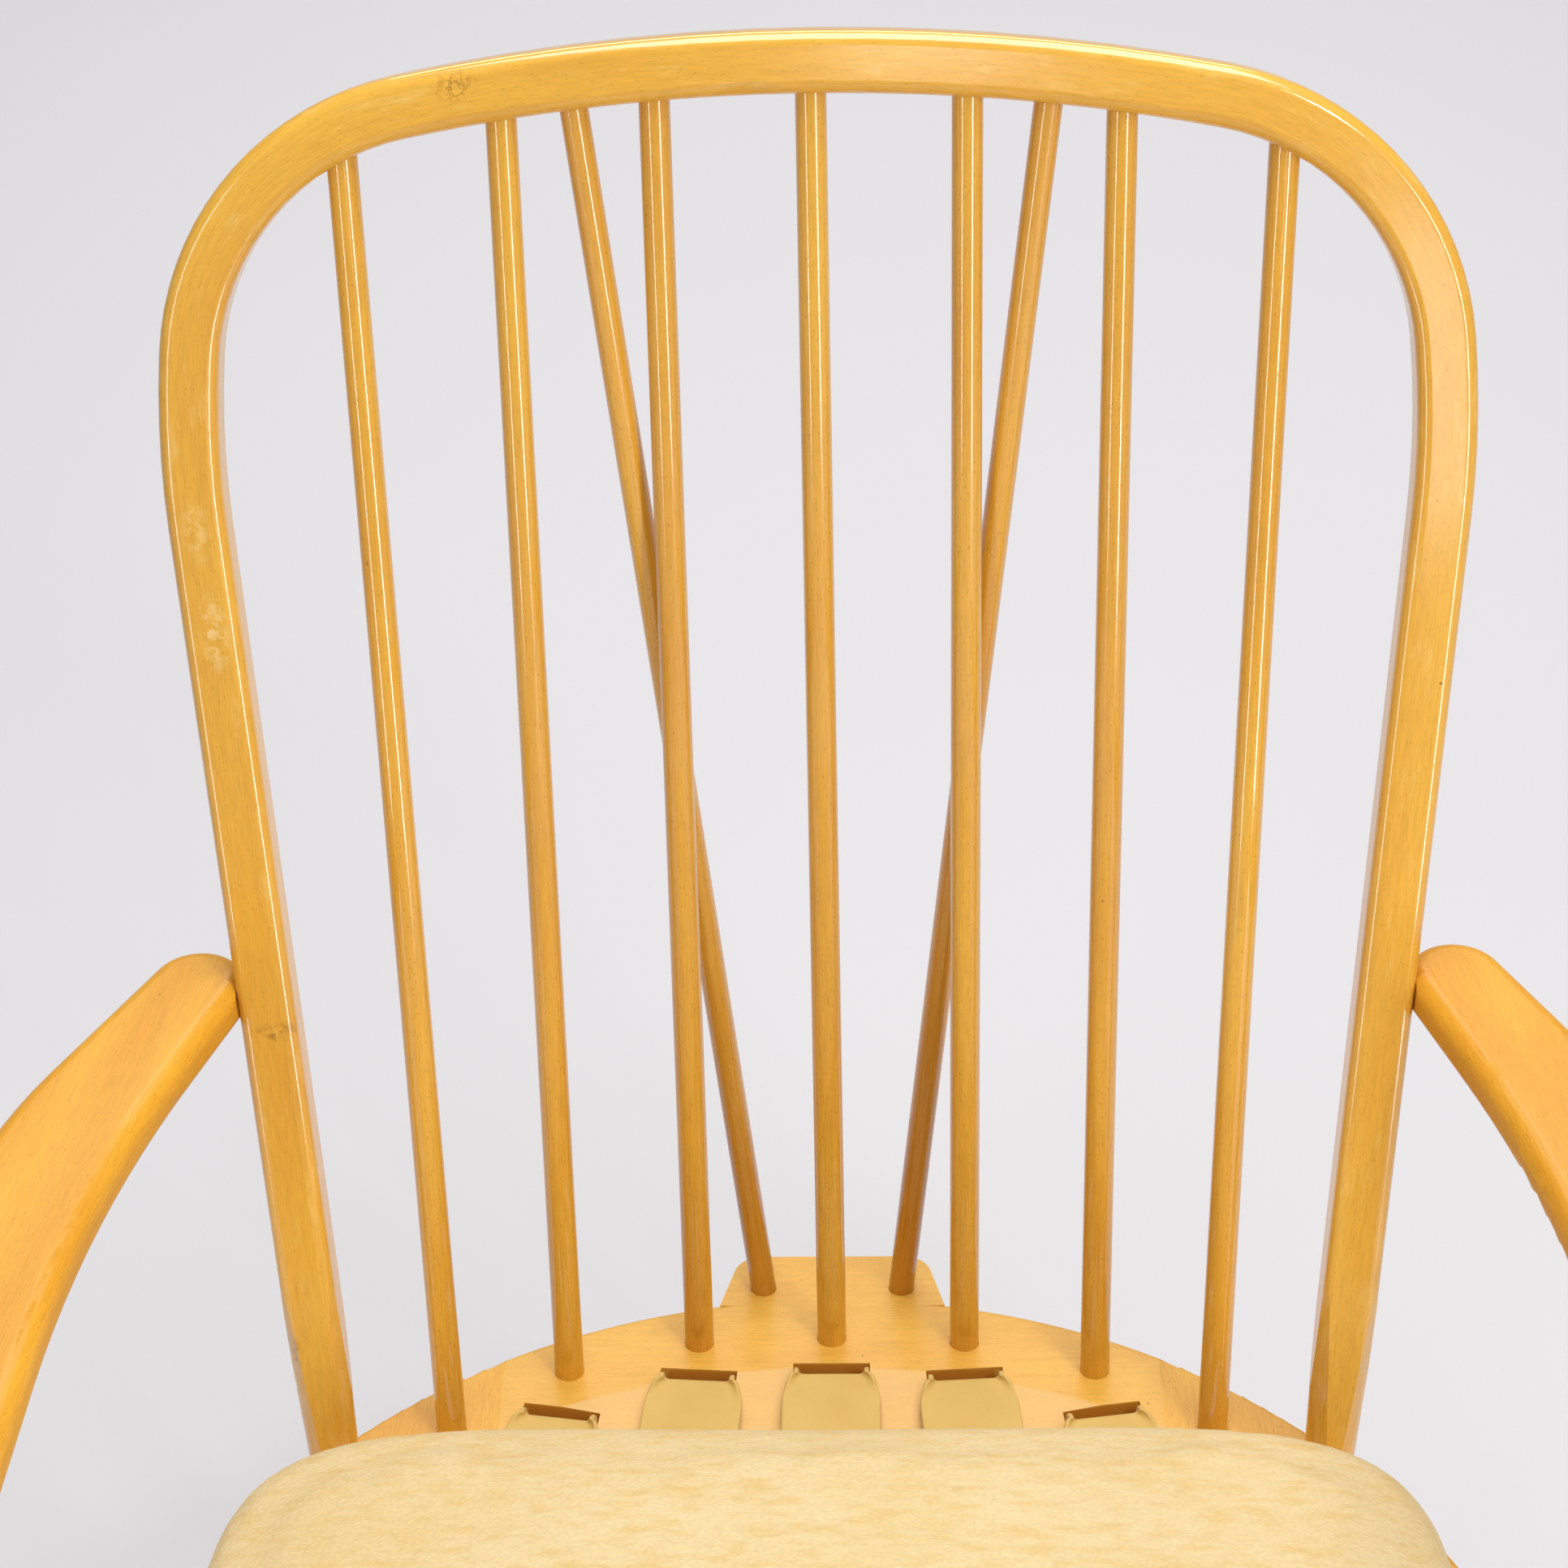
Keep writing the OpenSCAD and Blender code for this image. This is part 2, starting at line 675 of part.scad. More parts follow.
module side_rail(s) {
    color(beech) in_seat() difference() {
        translate([0, 0, s > 0 ? 0 : -rail_t]) rotate([0, s > 0 ? 0 : 180, 0]) difference() {
            board_side();
            translate([joint_x - 1000, -1000, -100]) cube([1000, 2000, 200]);
            translate([0, -front_reach - 10, -100])
                cube([open_x, front_reach - rear_centre, 200]);
        }
        opening();
        side(s) {
            stick_solid(7, fit, socket_end);
            in_bow() bow_leg_axis() translate([0, 0, -foot_tenon - socket_end])
                cylinder(h = foot_tenon + 20, d = foot_tenon_d + fit);
            supports(fit, socket_end);
            from_floor() for (front = [true, false])
                leg_tenon_solid(front, fit, socket_end);
            frame_dowel_set(dowel_fit, socket_end);
        }
    }
}

module front_rail() {
    color(beech) in_seat() difference() {
        intersection() {
            board_front();
            translate([-open_x, -front_reach - 10, -100])
                cube([2 * open_x, front_reach - rear_centre, 200]);
        }
        opening();
        for (i = [1:5]) at_front_slot(i) slot_cut(front_slot_l);
        frame_dowel_set(dowel_fit, socket_end);
    }
}

// Arms
// Slice across an arm's edge, from x = -wide to the rounded edge at x = 0
module arm_edge(wide, less = 0) {
    translate([-wide, less - arm_t]) square([wide - arm_round, arm_t - 2 * less]);
    translate([-arm_round - 1, arm_round - arm_t])
        square([arm_round + 1 - less, arm_t - 2 * arm_round]);
    for (y = [-arm_round, arm_round - arm_t]) translate([-arm_round, y])
        circle(arm_round - less, $fn = 48);
}

// Straight edge from p towards +Y turned by a, with its rounded side out or in
module arm_straight(p, a, l, wide, inwards, less) {
    translate(p) rotate([0, 0, a]) rotate([90, 0, 0]) translate([0, 0, -l])
        linear_extrude(l) mirror([inwards ? 1 : 0, 0]) arm_edge(wide, less);
}

module arm_sweep(c, r, a, wide, inwards) {
    over = 0.2;
    translate(c) rotate_extrude(angle = a + over, $fn = 360) translate([r, 0])
        mirror([inwards ? 1 : 0, 0]) arm_edge(wide);
}

module end_disc(c, r, a, over, less) {
    translate(c) rotate([0, 0, a - over]) rotate_extrude(angle = 180 + 2 * over, $fn = 64)
        intersection() {
            translate([r, 0]) arm_edge(r + 5, less);
            translate([0, -arm_t - 1]) square([r + 1, arm_t + 2]);
        }
}

module arm_solid() {
    intersection() {
        union() {
            arm_straight(neck_end, arm_flare, arm_neck + 1, 90, false, step);
            arm_sweep(sweep_c, arm_sweep_r, arm_flare, 110, false);
            arm_straight([arm_out_x, -arm_reach], 0, sweep_c.y + arm_reach, 110, false, 0);
        }
        union() {
            arm_straight(inner_start, inner_flare, 110, 110, true, 2 * step);
            arm_sweep(inner_c, inner_sweep_r, inner_flare, 110, true);
            arm_straight([arm_in_x, -arm_reach], 0, inner_c.y + arm_reach, 110, true, 0);
        }
    }
    end_disc([support_top_x, -arm_reach], paddle_w / 2, 180, 0, 0);
    end_disc(tip, arm_tip_r, arm_flare, 2, 3 * step);
}

module arm_peg(grow = 0, more = 0) {
    translate([bow_side_x, dowel_y, dowel_z]) rotate([0, 90, 0])
        cylinder(h = arm_dowel_l + 2 * more, d = arm_dowel_d + grow, center = true);
}

module arm(s) {
    color(beech) in_seat() side(s) difference() {
        translate([0, 0, arm_top]) arm_solid();
        // flat seat against the bow's outer face
        in_bow() translate([foot_x, 0, 0]) rotate([0, 0, -leg_in])
            translate([bow_face / 2 + face_gap - 60, 150, -70]) cube([60, 260, 140]);
        arm_peg(fit, socket_end);
        supports(fit, socket_end);
    }
}

module arm_dowels() {
    color(beech) in_seat() for (s = [-1, 1]) side(s) arm_peg();
}

// Posts and spindles under the arms
function support_base(y) = [support_x, -y, 0];
function support_head(y) = [support_top_x, -y, arm_top - arm_t];

module support_solid(y, end_d, mid_d) {
    p = support_base(y);
    q = support_head(y);
    u = (q - p) / norm(q - p);
    turned(p - u * support_in, q + u * support_up, end_d, mid_d, support_in + 6,
        support_up + 6);
}

module support_hole(y, end_d, grow, more) {
    rod(support_base(y), support_head(y), end_d, end_d, support_in + more,
        support_up + more, grow);
}

module supports(grow = 0, more = 0) {
    support_hole(spindle_rear, spindle_end_d, grow, more);
    support_hole(spindle_front, spindle_end_d, grow, more);
    support_hole(post_place, post_end_d, grow, more);
}

module post(s) {
    color(beech) in_seat() side(s) support_solid(post_place, post_end_d, post_mid_d);
}

module spindle(s, y) {
    color(beech) in_seat() side(s) support_solid(y, spindle_end_d, spindle_mid_d);
}

// Legs and stretchers, in the floor's frame, on the right side
function leg_seat(front) = world(front ? [front_leg_x, -front_leg_place, -rail_t]
    : [rear_leg_x, -rear_leg_place, -rail_t]);
function leg_floor(front) = let (p = leg_seat(front)) front
    ? [p.x + front_splay, p.y - front_rake, 0] : [p.x + rear_splay, p.y + rear_rake, 0];
function on_leg(front, z) = let (p = leg_seat(front), q = leg_floor(front))
    q + (p - q) * z / p.z;

module leg_tenon_solid(front, grow = 0, more = 0) {
    p = leg_floor(front);
    q = leg_seat(front);
    rod(p + (q - p) * 0.9, q, leg_tenon_d, leg_tenon_d, 0, leg_tenon + more, grow);
}

module leg_body(front) {
    p = leg_floor(front);
    q = leg_seat(front);
    past = 14;
    l = norm(q - p) + 2 * past;
    difference() {
        between(p, q) translate([0, 0, -past]) rotate([0, 0, 37])
            rotate_extrude() polygon(concat([[0, 0]],
            [for (i = [0:swell_n]) let (z = l * i / swell_n)
                [leg_d / 2 - pow(z - past - leg_belly, 2) / (2 * leg_curve_r), z]],
            [[0, l]]));
        in_seat() translate([0, -1000, -rail_t - face_gap]) cube([1000, 2000, 200]);
        translate([0, -1000, -100]) cube([1000, 2000, 100]);
    }
    leg_tenon_solid(front);
}

function stretcher_p() = on_leg(true, stretcher_front_h);
function stretcher_q() = on_leg(false, stretcher_rear_h);
function stretcher_u() = (stretcher_q() - stretcher_p()) / norm(stretcher_q() - stretcher_p());
function stretcher_mid() = (stretcher_p() + stretcher_q()) / 2;

module stretcher_hole(grow, more) {
    p = stretcher_p() + stretcher_u() * (stretcher_stop - more);
    q = stretcher_q() - stretcher_u() * (stretcher_stop - more);
    rod(p, q, stretcher_end_d, stretcher_end_d, 0, 0, grow);
}

module leg(s, front) {
    color(beech) side(s) difference() {
        leg_body(front);
        stretcher_hole(fit, socket_end);
    }
}

module side_stretcher(s) {
    bare = leg_d / 2 - stretcher_stop + 2;
    color(beech) side(s) difference() {
        turned(stretcher_p() + stretcher_u() * stretcher_stop,
            stretcher_q() - stretcher_u() * stretcher_stop,
            stretcher_end_d, side_stretcher_d, bare, bare);
        cross_hole(fit, socket_end);
    }
}

module cross_hole(grow = 0, more = 0) {
    m = stretcher_mid();
    translate([0, m.y, m.z]) rotate([0, 90, 0])
        cylinder(h = m.x - stretcher_stop + more, d = stretcher_end_d + grow);
}

module cross_stretcher() {
    m = stretcher_mid();
    e = m.x - stretcher_stop;
    bare = side_stretcher_d / 2 - stretcher_stop + 2;
    color(beech) turned([-e, m.y, m.z], [e, m.y, m.z], stretcher_end_d, cross_stretcher_d,
        bare, bare);
}

// Cushion
// Rings of a soft box: each has an inset from the outline and a height share
cushion_mid = -(cushion_rear + cushion_front) / 2;
cushion_deep = (cushion_front - cushion_rear) / 2;
cushion_z = strap_lift + strap_t + rest_gap;
ring_n = 56;

function soft(v, n) = sign(v) * pow(abs(v), 2 / n);
function outline(a, inset) = let (
        x = (cushion_half - inset) * soft(cos(a), corner_square),
        y = (cushion_deep - inset) * soft(sin(a), corner_square),
        dx = side_draw * (1 - pow(y / cushion_deep, 2)) * (x / cushion_half),
        dy = side_draw * (1 - pow(x / cushion_half, 2)) * (y / cushion_deep))
    [x - dx, y - dy + cushion_mid];
function crown(x, y) = cushion_crown * cos(90 * min(1, abs(x) / cushion_half))
    * cos(90 * min(1, abs(y - cushion_mid) / cushion_deep));

// Levels from the underside up: [inset, height, share of the crown]
function levels(t) = [[70, 0, 0], [30, 0, 0], [12, 3, 0], [3, 12, 0], [0, 26, 0],
    [1, t / 2, 0], [0, t - 26, 0], [3, t - 11, 0.05], [12, t - 3, 0.4], [30, t, 0.9],
    [80, t, 1], [150, t, 1], [210, t, 1]];

module soft_box(cut) {
    lv = levels(cushion_t);
    rows = len(lv);
    points = [for (k = [0:rows - 1], j = [0:ring_n - 1])
        let (p = outline(360 * j / ring_n, lv[k][0] + cut),
            z = lv[k][1] + lv[k][2] * crown(p.x, p.y))
        [p.x, p.y, cushion_t / 2 + (z - cushion_t / 2) * (1 - 2 * cut / cushion_t)]];
    ends = [[0, cushion_mid, cut], [0, cushion_mid, cushion_t + cushion_crown - cut]];
    n = rows * ring_n;
    polyhedron(concat(points, ends), concat(
        [for (k = [0:rows - 2], j = [0:ring_n - 1]) let (a = k * ring_n, b = a + ring_n,
            i = (j + 1) % ring_n) each [[a + j, b + j, b + i], [a + j, b + i, a + i]]],
        [for (j = [0:ring_n - 1]) [n, j, (j + 1) % ring_n]],
        [for (j = [0:ring_n - 1]) [n + 1, n - ring_n + (j + 1) % ring_n, n - ring_n + j]]));
}

module cushion_cover() {
    color(fabric) in_seat() translate([0, 0, cushion_z]) difference() {
        soft_box(0);
        soft_box(cover_t);
    }
}

module cushion_foam() {
    color(foam) in_seat() translate([0, 0, cushion_z]) soft_box(cover_t + foam_gap);
}

bow();
stick(1);  // stick_1
stick(2);  // stick_2
stick(3);  // stick_3
stick(4);  // stick_4
stick(5);  // stick_5
stick(6);  // stick_6
stick(7);  // stick_7
brace(-1);  // brace_left
brace(1);  // brace_right
rear_rail();
tail_block();
side_rail(-1);  // side_rail_left
side_rail(1);  // side_rail_right
front_rail();
frame_dowels();
arm(-1);  // arm_left
arm(1);  // arm_right
arm_dowels();
post(-1);  // post_left
post(1);  // post_right
spindle(-1, spindle_rear);  // spindle_left_rear
spindle(-1, spindle_front);  // spindle_left_front
spindle(1, spindle_rear);  // spindle_right_rear
spindle(1, spindle_front);  // spindle_right_front
leg(-1, true);  // leg_front_left
leg(1, true);  // leg_front_right
leg(-1, false);  // leg_rear_left
leg(1, false);  // leg_rear_right
side_stretcher(-1);  // side_stretcher_left
side_stretcher(1);  // side_stretcher_right
cross_stretcher();
strap(1);  // strap_1
strap(2);  // strap_2
strap(3);  // strap_3
strap(4);  // strap_4
strap(5);  // strap_5
strap_pins();
cushion_cover();
cushion_foam();
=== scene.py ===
import math

import bmesh
import bpy
import numpy as np
from mathutils import Euler, Matrix, Vector, noise
from mathutils.bvhtree import BVHTree


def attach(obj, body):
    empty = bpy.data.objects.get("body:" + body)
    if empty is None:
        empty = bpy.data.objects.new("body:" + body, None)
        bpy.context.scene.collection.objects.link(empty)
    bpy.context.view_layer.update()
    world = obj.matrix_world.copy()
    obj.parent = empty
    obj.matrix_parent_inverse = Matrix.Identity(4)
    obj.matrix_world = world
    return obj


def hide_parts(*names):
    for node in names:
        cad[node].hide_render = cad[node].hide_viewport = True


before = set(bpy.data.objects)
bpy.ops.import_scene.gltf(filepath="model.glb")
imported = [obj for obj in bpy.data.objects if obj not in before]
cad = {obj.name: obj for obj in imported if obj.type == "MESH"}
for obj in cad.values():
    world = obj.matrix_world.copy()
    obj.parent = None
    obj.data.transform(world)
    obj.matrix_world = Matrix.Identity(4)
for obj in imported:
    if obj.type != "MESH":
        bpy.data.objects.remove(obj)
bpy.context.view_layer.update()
print("frame:", len(cad), "pieces")

# the seat plane, and the bow's plane on it, in metres and degrees; arcs in millimetres
seat = {"place": (0, 0.254882, 0.3), "tilt": -4}
bow = {
    "place": (0, 0.144851, 0.307694), "tilt": 72.3,
    "crown": (0, -241, 938, 11), "shoulder": (155.51, 559.03, 123, 83.5),
    "flank": (-155.48, 523.60, 436, 93.9), "legTop": (279.51, 493.95),
}
seatToWorld = Matrix.Translation(seat["place"]) @ Matrix.Rotation(math.radians(seat["tilt"]), 4, "X")
seatUp = tuple(seatToWorld.to_3x3() @ Vector((0, 0, 1)))
seatFront = tuple(seatToWorld.to_3x3() @ Vector((0, -1, 0)))


def linear(colour):
    parts = [int(colour[i:i + 2], 16) / 255 for i in (1, 3, 5)]
    return [c / 12.92 if c <= 0.04045 else ((c + 0.055) / 1.055) ** 2.4 for c in parts] + [1]


# one node with its settings; an input is a value or a link from another node's output
def add(tree, kind, inputs=None, **settings):
    made = tree.nodes.new("ShaderNode" + kind)
    for name, value in settings.items():
        setattr(made, name, value)
    for key, value in (inputs or {}).items():
        if isinstance(value, bpy.types.NodeSocket):
            tree.links.new(value, made.inputs[key])
        else:
            made.inputs[key].default_value = value
    return made.outputs


def finished(name, surface):
    material = bpy.data.materials.new(name)
    material.use_nodes = True
    tree = material.node_tree
    tree.nodes.clear()
    add(tree, "OutputMaterial", {"Surface": surface(tree)})
    return material


def dressed(piece, material):
    piece.data.materials.clear()
    piece.data.materials.append(material)
    for face in piece.data.polygons:
        face.material_index = 0


# millimetres from a place, on turned axes
def millimetres(tree, place, turn):
    return add(tree, "Mapping", {
        "Vector": add(tree, "TexCoord")["Object"], "Location": place, "Rotation": turn,
        "Scale": (0.001,) * 3}, vector_type="TEXTURE")[0]


# millimetres on the face of the seat or of the bow
def onPlane(tree, plane):
    return millimetres(tree, plane["place"], (math.radians(plane["tilt"]), 0, 0))


# millimetres along a straight board or rod, with the grain on the third axis
def straightGrain(place, axis, roll=0):
    upright = Vector((0, 0, 1)).rotation_difference(Vector(axis)).to_matrix()
    turn = (upright @ Euler((0, 0, roll)).to_matrix()).to_euler()
    return lambda tree: millimetres(tree, place, turn)


# millimetres across, through and along the bent bow, which follows its four arcs
def bentGrain(tree):
    x, y, z = add(tree, "SeparateXYZ", {0: onPlane(tree, bow)})
    mirrored = add(tree, "Math", {0: x}, operation="ABSOLUTE")[0]
    flat = add(tree, "CombineXYZ", {0: mirrored, 1: y})[0]
    run, last, parts = 0, 0, []
    for name in ("crown", "shoulder", "flank"):
        cx, cy, radius, until = bow[name]
        arm = add(tree, "VectorMath", {0: flat, 1: (cx, cy, 0)}, operation="SUBTRACT")[0]
        armX, armY = add(tree, "SeparateXYZ", {0: arm})[:2]
        angle = add(tree, "Math", {0: armX, 1: armY}, operation="ARCTAN2")[0]
        far = add(tree, "VectorMath", {0: arm}, operation="LENGTH")["Value"]
        across = add(tree, "Math", {0: far, 1: radius}, operation="SUBTRACT")[0]
        along = add(tree, "Math", {
            0: angle, 1: radius, 2: run - math.radians(last) * radius}, operation="MULTIPLY_ADD")[0]
        past = add(tree, "Math", {0: angle, 1: math.radians(until)}, operation="GREATER_THAN")[0]
        parts.append((add(tree, "CombineXYZ", {0: across, 1: z, 2: along})[0], past))
        run += math.radians(until - last) * radius
        last = until
    lean = math.radians(last - 90)
    topX, topY = bow["legTop"]
    below = add(tree, "VectorMath", {0: flat, 1: (topX, topY, 0)}, operation="SUBTRACT")[0]
    across = add(tree, "VectorMath", {
        0: below, 1: (math.cos(lean), -math.sin(lean), 0)}, operation="DOT_PRODUCT")["Value"]
    down = add(tree, "VectorMath", {
        0: below, 1: (-math.sin(lean), -math.cos(lean), 0)}, operation="DOT_PRODUCT")["Value"]
    along = add(tree, "Math", {0: down, 1: run}, operation="ADD")[0]
    result = add(tree, "CombineXYZ", {0: across, 1: z, 2: along})[0]
    for place, past in reversed(parts):
        result = add(tree, "Mix", {0: past, 4: place, 5: result}, data_type="VECTOR")[1]
    # one run from the left foot, below zero, to the right foot
    side = add(tree, "Math", {0: x}, operation="SIGN")[0]
    return add(tree, "VectorMath", {
        0: result, 1: add(tree, "CombineXYZ", {0: 1, 1: 1, 2: side})[0]}, operation="MULTIPLY")[0]


# Beech, bent or turned, sanded and sprayed with clear lacquer that has yellowed: an even warm
# honey colour, short dark ray flecks along the grain, and a crisp clear gloss over the top.
# The fibres and flecks are about half as wide again as real ones, so that they show.
beech = {
    "light": "#ecb338", "deep": "#d48e1e", "pale": "#f2cb78", "streak": "#bf8222",
    # the brown mixed in low on the sticks and braces is painted shade
    "fleck": "#8a5518", "lowShadeColour": "#a9650f", "dent": "#6e4514",
    "cloudMm": (30, 170), "streakMm": (2.4, 70), "streaked": 0.2,
    "fibreMm": (0.9, 13), "fibreTone": (0.88, 1.09),
    "fleckMm": (1.3, 5.2), "fleckReach": 0.2, "fleckDark": 0.42,
    "dentMm": 26, "dentReach": 0.032, "dentDark": 0.75,
    "lowShadeBetween": (0.62, 0.33), "rippleMm": (1, 2.2),
    "rough": 0.45, "specular": 0.25, "coatIor": 1.7,
    "grainBump": {"Strength": 0.15, "Distance": 0.0003},
    "coatBump": {"Strength": 0.07, "Distance": 0.00015},
}


# straight out from a thin rod's axis, so that its gloss runs down it as an unbroken line
def roundFacing(tree, middle, axis):
    here = add(tree, "TexCoord")["Object"]
    off = add(tree, "VectorMath", {0: here, 1: middle}, operation="SUBTRACT")[0]
    side = add(tree, "VectorMath", {0: axis, 1: off}, operation="CROSS_PRODUCT")[0]
    out = add(tree, "VectorMath", {0: side, 1: axis}, operation="CROSS_PRODUCT")[0]
    return add(tree, "VectorMath", {0: out}, operation="NORMALIZE")[0]


def lacqueredBeech(name, grain, look, tone, seed, extra=None, rod=None):
    pale, fleck, lowShade, gloss, blur = look

    def surface(tree):
        place = grain(tree)
        facing = {"Normal": roundFacing(tree, *rod)} if rod else {}
        shifted = add(tree, "VectorMath", {0: place, 1: (seed * 37, seed * 53, seed * 411)})[0]

        def scaled(across, along):
            return add(tree, "VectorMath", {
                0: shifted, 1: (1 / across, 1 / across, 1 / along)}, operation="MULTIPLY")[0]
        cloud = add(tree, "TexNoise", {"Vector": scaled(*beech["cloudMm"]), "Scale": 1, "Detail": 2})[0]
        share = add(tree, "MapRange", {
            0: cloud, 1: 0.3, 2: 0.7, 3: max(0, tone - 0.25), 4: min(1, tone + 0.25)})[0]
        colour = add(tree, "Mix", {
            0: share, 6: linear(beech["light"]), 7: linear(beech["deep"])}, data_type="RGBA")[2]
        colour = add(tree, "Mix", {0: pale, 6: colour, 7: linear(beech["pale"])}, data_type="RGBA")[2]
        streak = add(tree, "TexNoise", {
            "Vector": scaled(*beech["streakMm"]), "Scale": 1, "Detail": 3, "Roughness": 0.6})[0]
        streaked = add(tree, "MapRange", {0: streak, 1: 0.48, 2: 0.78, 3: 0, 4: beech["streaked"]})[0]
        colour = add(tree, "Mix", {
            0: streaked, 6: colour, 7: linear(beech["streak"])}, data_type="RGBA")[2]
        if lowShade:
            # painted shade: the wood is darkened toward the seat, standing in for the shade that falls on
            # the lower ends of the sticks and braces
            height = add(tree, "SeparateXYZ", {0: add(tree, "TexCoord")["Object"]})[2]
            high, low = beech["lowShadeBetween"]
            low = add(tree, "MapRange", {0: height, 1: high, 2: low, 3: 0, 4: lowShade})[0]
            colour = add(tree, "Mix", {0: low, 6: colour, 7: linear(beech["lowShadeColour"])}, data_type="RGBA")[2]
        fibre = add(tree, "TexNoise", {
            "Vector": scaled(*beech["fibreMm"]), "Scale": 1, "Detail": 3, "Roughness": 0.6})[0]
        fibred = add(tree, "MapRange", {
            0: fibre, 1: 0.25, 2: 0.75, 3: beech["fibreTone"][0], 4: beech["fibreTone"][1]})[0]
        colour = add(tree, "VectorMath", {0: colour, 3: fibred}, operation="SCALE")[0]
        cells = add(tree, "TexVoronoi", {
            "Vector": scaled(*beech["fleckMm"]), "Scale": 1, "Randomness": 1})
        near = add(tree, "MapRange", {
            0: cells["Distance"], 1: beech["fleckReach"], 2: beech["fleckReach"] * 0.55, 3: 0,
            4: beech["fleckDark"] * fleck})[0]
        colour = add(tree, "Mix", {
            0: near, 6: colour, 7: linear(beech["fleck"])}, data_type="RGBA")[2]
        # a few old dents, dark with wax
        sparse = add(tree, "TexVoronoi", {
            "Vector": scaled(beech["dentMm"], beech["dentMm"]), "Scale": 1, "Randomness": 1})
        dent = add(tree, "MapRange", {
            0: sparse["Distance"], 1: beech["dentReach"], 2: beech["dentReach"] * 0.5, 3: 0,
            4: beech["dentDark"]})[0]
        colour = add(tree, "Mix", {0: dent, 6: colour, 7: linear(beech["dent"])}, data_type="RGBA")[2]
        if extra:
            colour = extra(tree, colour, place)
        height = add(tree, "Math", {0: fibre, 1: near}, operation="SUBTRACT")[0]
        bump = add(tree, "Bump", {"Height": height, **beech["grainBump"], **facing})[0]
        ripple = add(tree, "TexNoise", {"Vector": scaled(*beech["rippleMm"]), "Scale": 1, "Detail": 1})[0]
        coatBump = add(tree, "Bump", {"Height": ripple, **beech["coatBump"], **facing})[0]
        return add(tree, "BsdfPrincipled", {
            "Base Color": colour, "Roughness": beech["rough"], "IOR": 1.5,
            "Specular IOR Level": beech["specular"], "Normal": bump, "Coat Weight": gloss,
            "Coat IOR": beech["coatIor"], "Coat Roughness": blur, "Coat Normal": coatBump})[0]
    return finished(name, surface)


# the long axis of a piece, from its own shape
def longAxis(piece):
    points = np.array([v.co for v in piece.data.vertices])
    middle = points.mean(0)
    axis = np.linalg.svd(points - middle, full_matrices=False)[2][0]
    return tuple(middle), tuple(axis if axis[2] >= 0 else -axis)


# for each kind of piece: tone from 0 light to 1 deep, share of pale wood, how strongly the flecks
# show, how much painted shade darkens it toward the seat, and the gloss and blur of its lacquer
tones = {
    "stick": (0.35, 0, 1.0, 0.12, 1.0, 0.09), "brace": (0.42, 0, 1.0, 0.5, 1.0, 0.09),
    "bow": (0.28, 0.04, 0.7, 0, 1.0, 0.13), "rear_rail": (0.25, 0.2, 0.8, 0, 0.2, 0.25),
    "tail_block": (0.3, 0.2, 0.8, 0, 0.2, 0.25), "side_rail": (0.45, 0.1, 0.8, 0, 0.15, 0.25),
    "front_rail": (0.25, 0.2, 0.8, 0, 0.2, 0.25), "arm": (0.65, 0, 0.8, 0, 0.2, 0.22),
    "post": (0.45, 0, 1.0, 0, 1.0, 0.09), "spindle": (0.45, 0, 1.0, 0, 1.0, 0.09),
    "leg": (0.45, 0, 1.0, 0, 0.9, 0.1), "side_stretcher": (0.45, 0, 1.0, 0, 0.9, 0.1),
    "cross_stretcher": (0.45, 0, 1.0, 0, 0.9, 0.1), "frame_dowels": (0.5, 0.3, 1.0, 0, 0.3, 0.3),
}
# slot walls in the rear rail are bare and a shade browner, and painted shade darkens them further the
# deeper they go into the recess; the slope in front of them is paler, because it was cut after the rail
# was sanded. Millimetres on the seat's face, from the middle of the rail's curve: the slots lie between
# wallFrom and wallTo, the rail's inner face at 300.
slots = {
    "shadedWall": "#da9234", "slope": "#eac383", "slopeShare": 0.65, "centre": (0, 364, 0),
    "slopeTo": 341, "wallFrom": 316, "wallTo": 351, "shadeDeepFrom": -0.5, "shadeDeepTo": -2, "shadedWallShare": 0.9,
}


def seatSlopeAndSlotShade(tree, colour, place):
    here = add(tree, "VectorMath", {0: onPlane(tree, seat), 1: slots["centre"]})[0]
    x, y, w = add(tree, "SeparateXYZ", {0: here})
    flat = add(tree, "CombineXYZ", {0: x, 1: y})[0]
    far = add(tree, "VectorMath", {0: flat}, operation="LENGTH")["Value"]
    normal = add(tree, "NewGeometry")["Normal"]
    up = add(tree, "VectorMath", {0: normal, 1: seatUp}, operation="DOT_PRODUCT")["Value"]
    inner = add(tree, "MapRange", {
        0: far, 1: slots["slopeTo"] + 0.8, 2: slots["slopeTo"] - 1.2, 3: 0, 4: slots["slopeShare"]})[0]
    above = add(tree, "MapRange", {0: up, 1: 0.5, 2: 0.7, 3: 0, 4: 1})[0]
    inner = add(tree, "Math", {0: inner, 1: above}, operation="MULTIPLY")[0]
    colour = add(tree, "Mix", {0: inner, 6: colour, 7: linear(slots["slope"])}, data_type="RGBA")[2]
    # painted shade: the slot walls' colour deepens below the rail's top, over the bare wood's browner
    # tone, standing in for the shade inside the slots
    level = add(tree, "Math", {0: up}, operation="ABSOLUTE")[0]
    wallShade = add(tree, "MapRange", {0: level, 1: 0.45, 2: 0.3, 3: 0, 4: 1})[0]
    for limit in (
            add(tree, "MapRange", {
                0: w, 1: slots["shadeDeepFrom"], 2: slots["shadeDeepTo"], 3: 0, 4: slots["shadedWallShare"]})[0],
            add(tree, "Math", {0: far, 1: slots["wallTo"]}, operation="LESS_THAN")[0],
            add(tree, "Math", {0: far, 1: slots["wallFrom"]}, operation="GREATER_THAN")[0]):
        wallShade = add(tree, "Math", {0: wallShade, 1: limit}, operation="MULTIPLY")[0]
    return add(tree, "Mix", {0: wallShade, 6: colour, 7: linear(slots["shadedWall"])}, data_type="RGBA")[2]


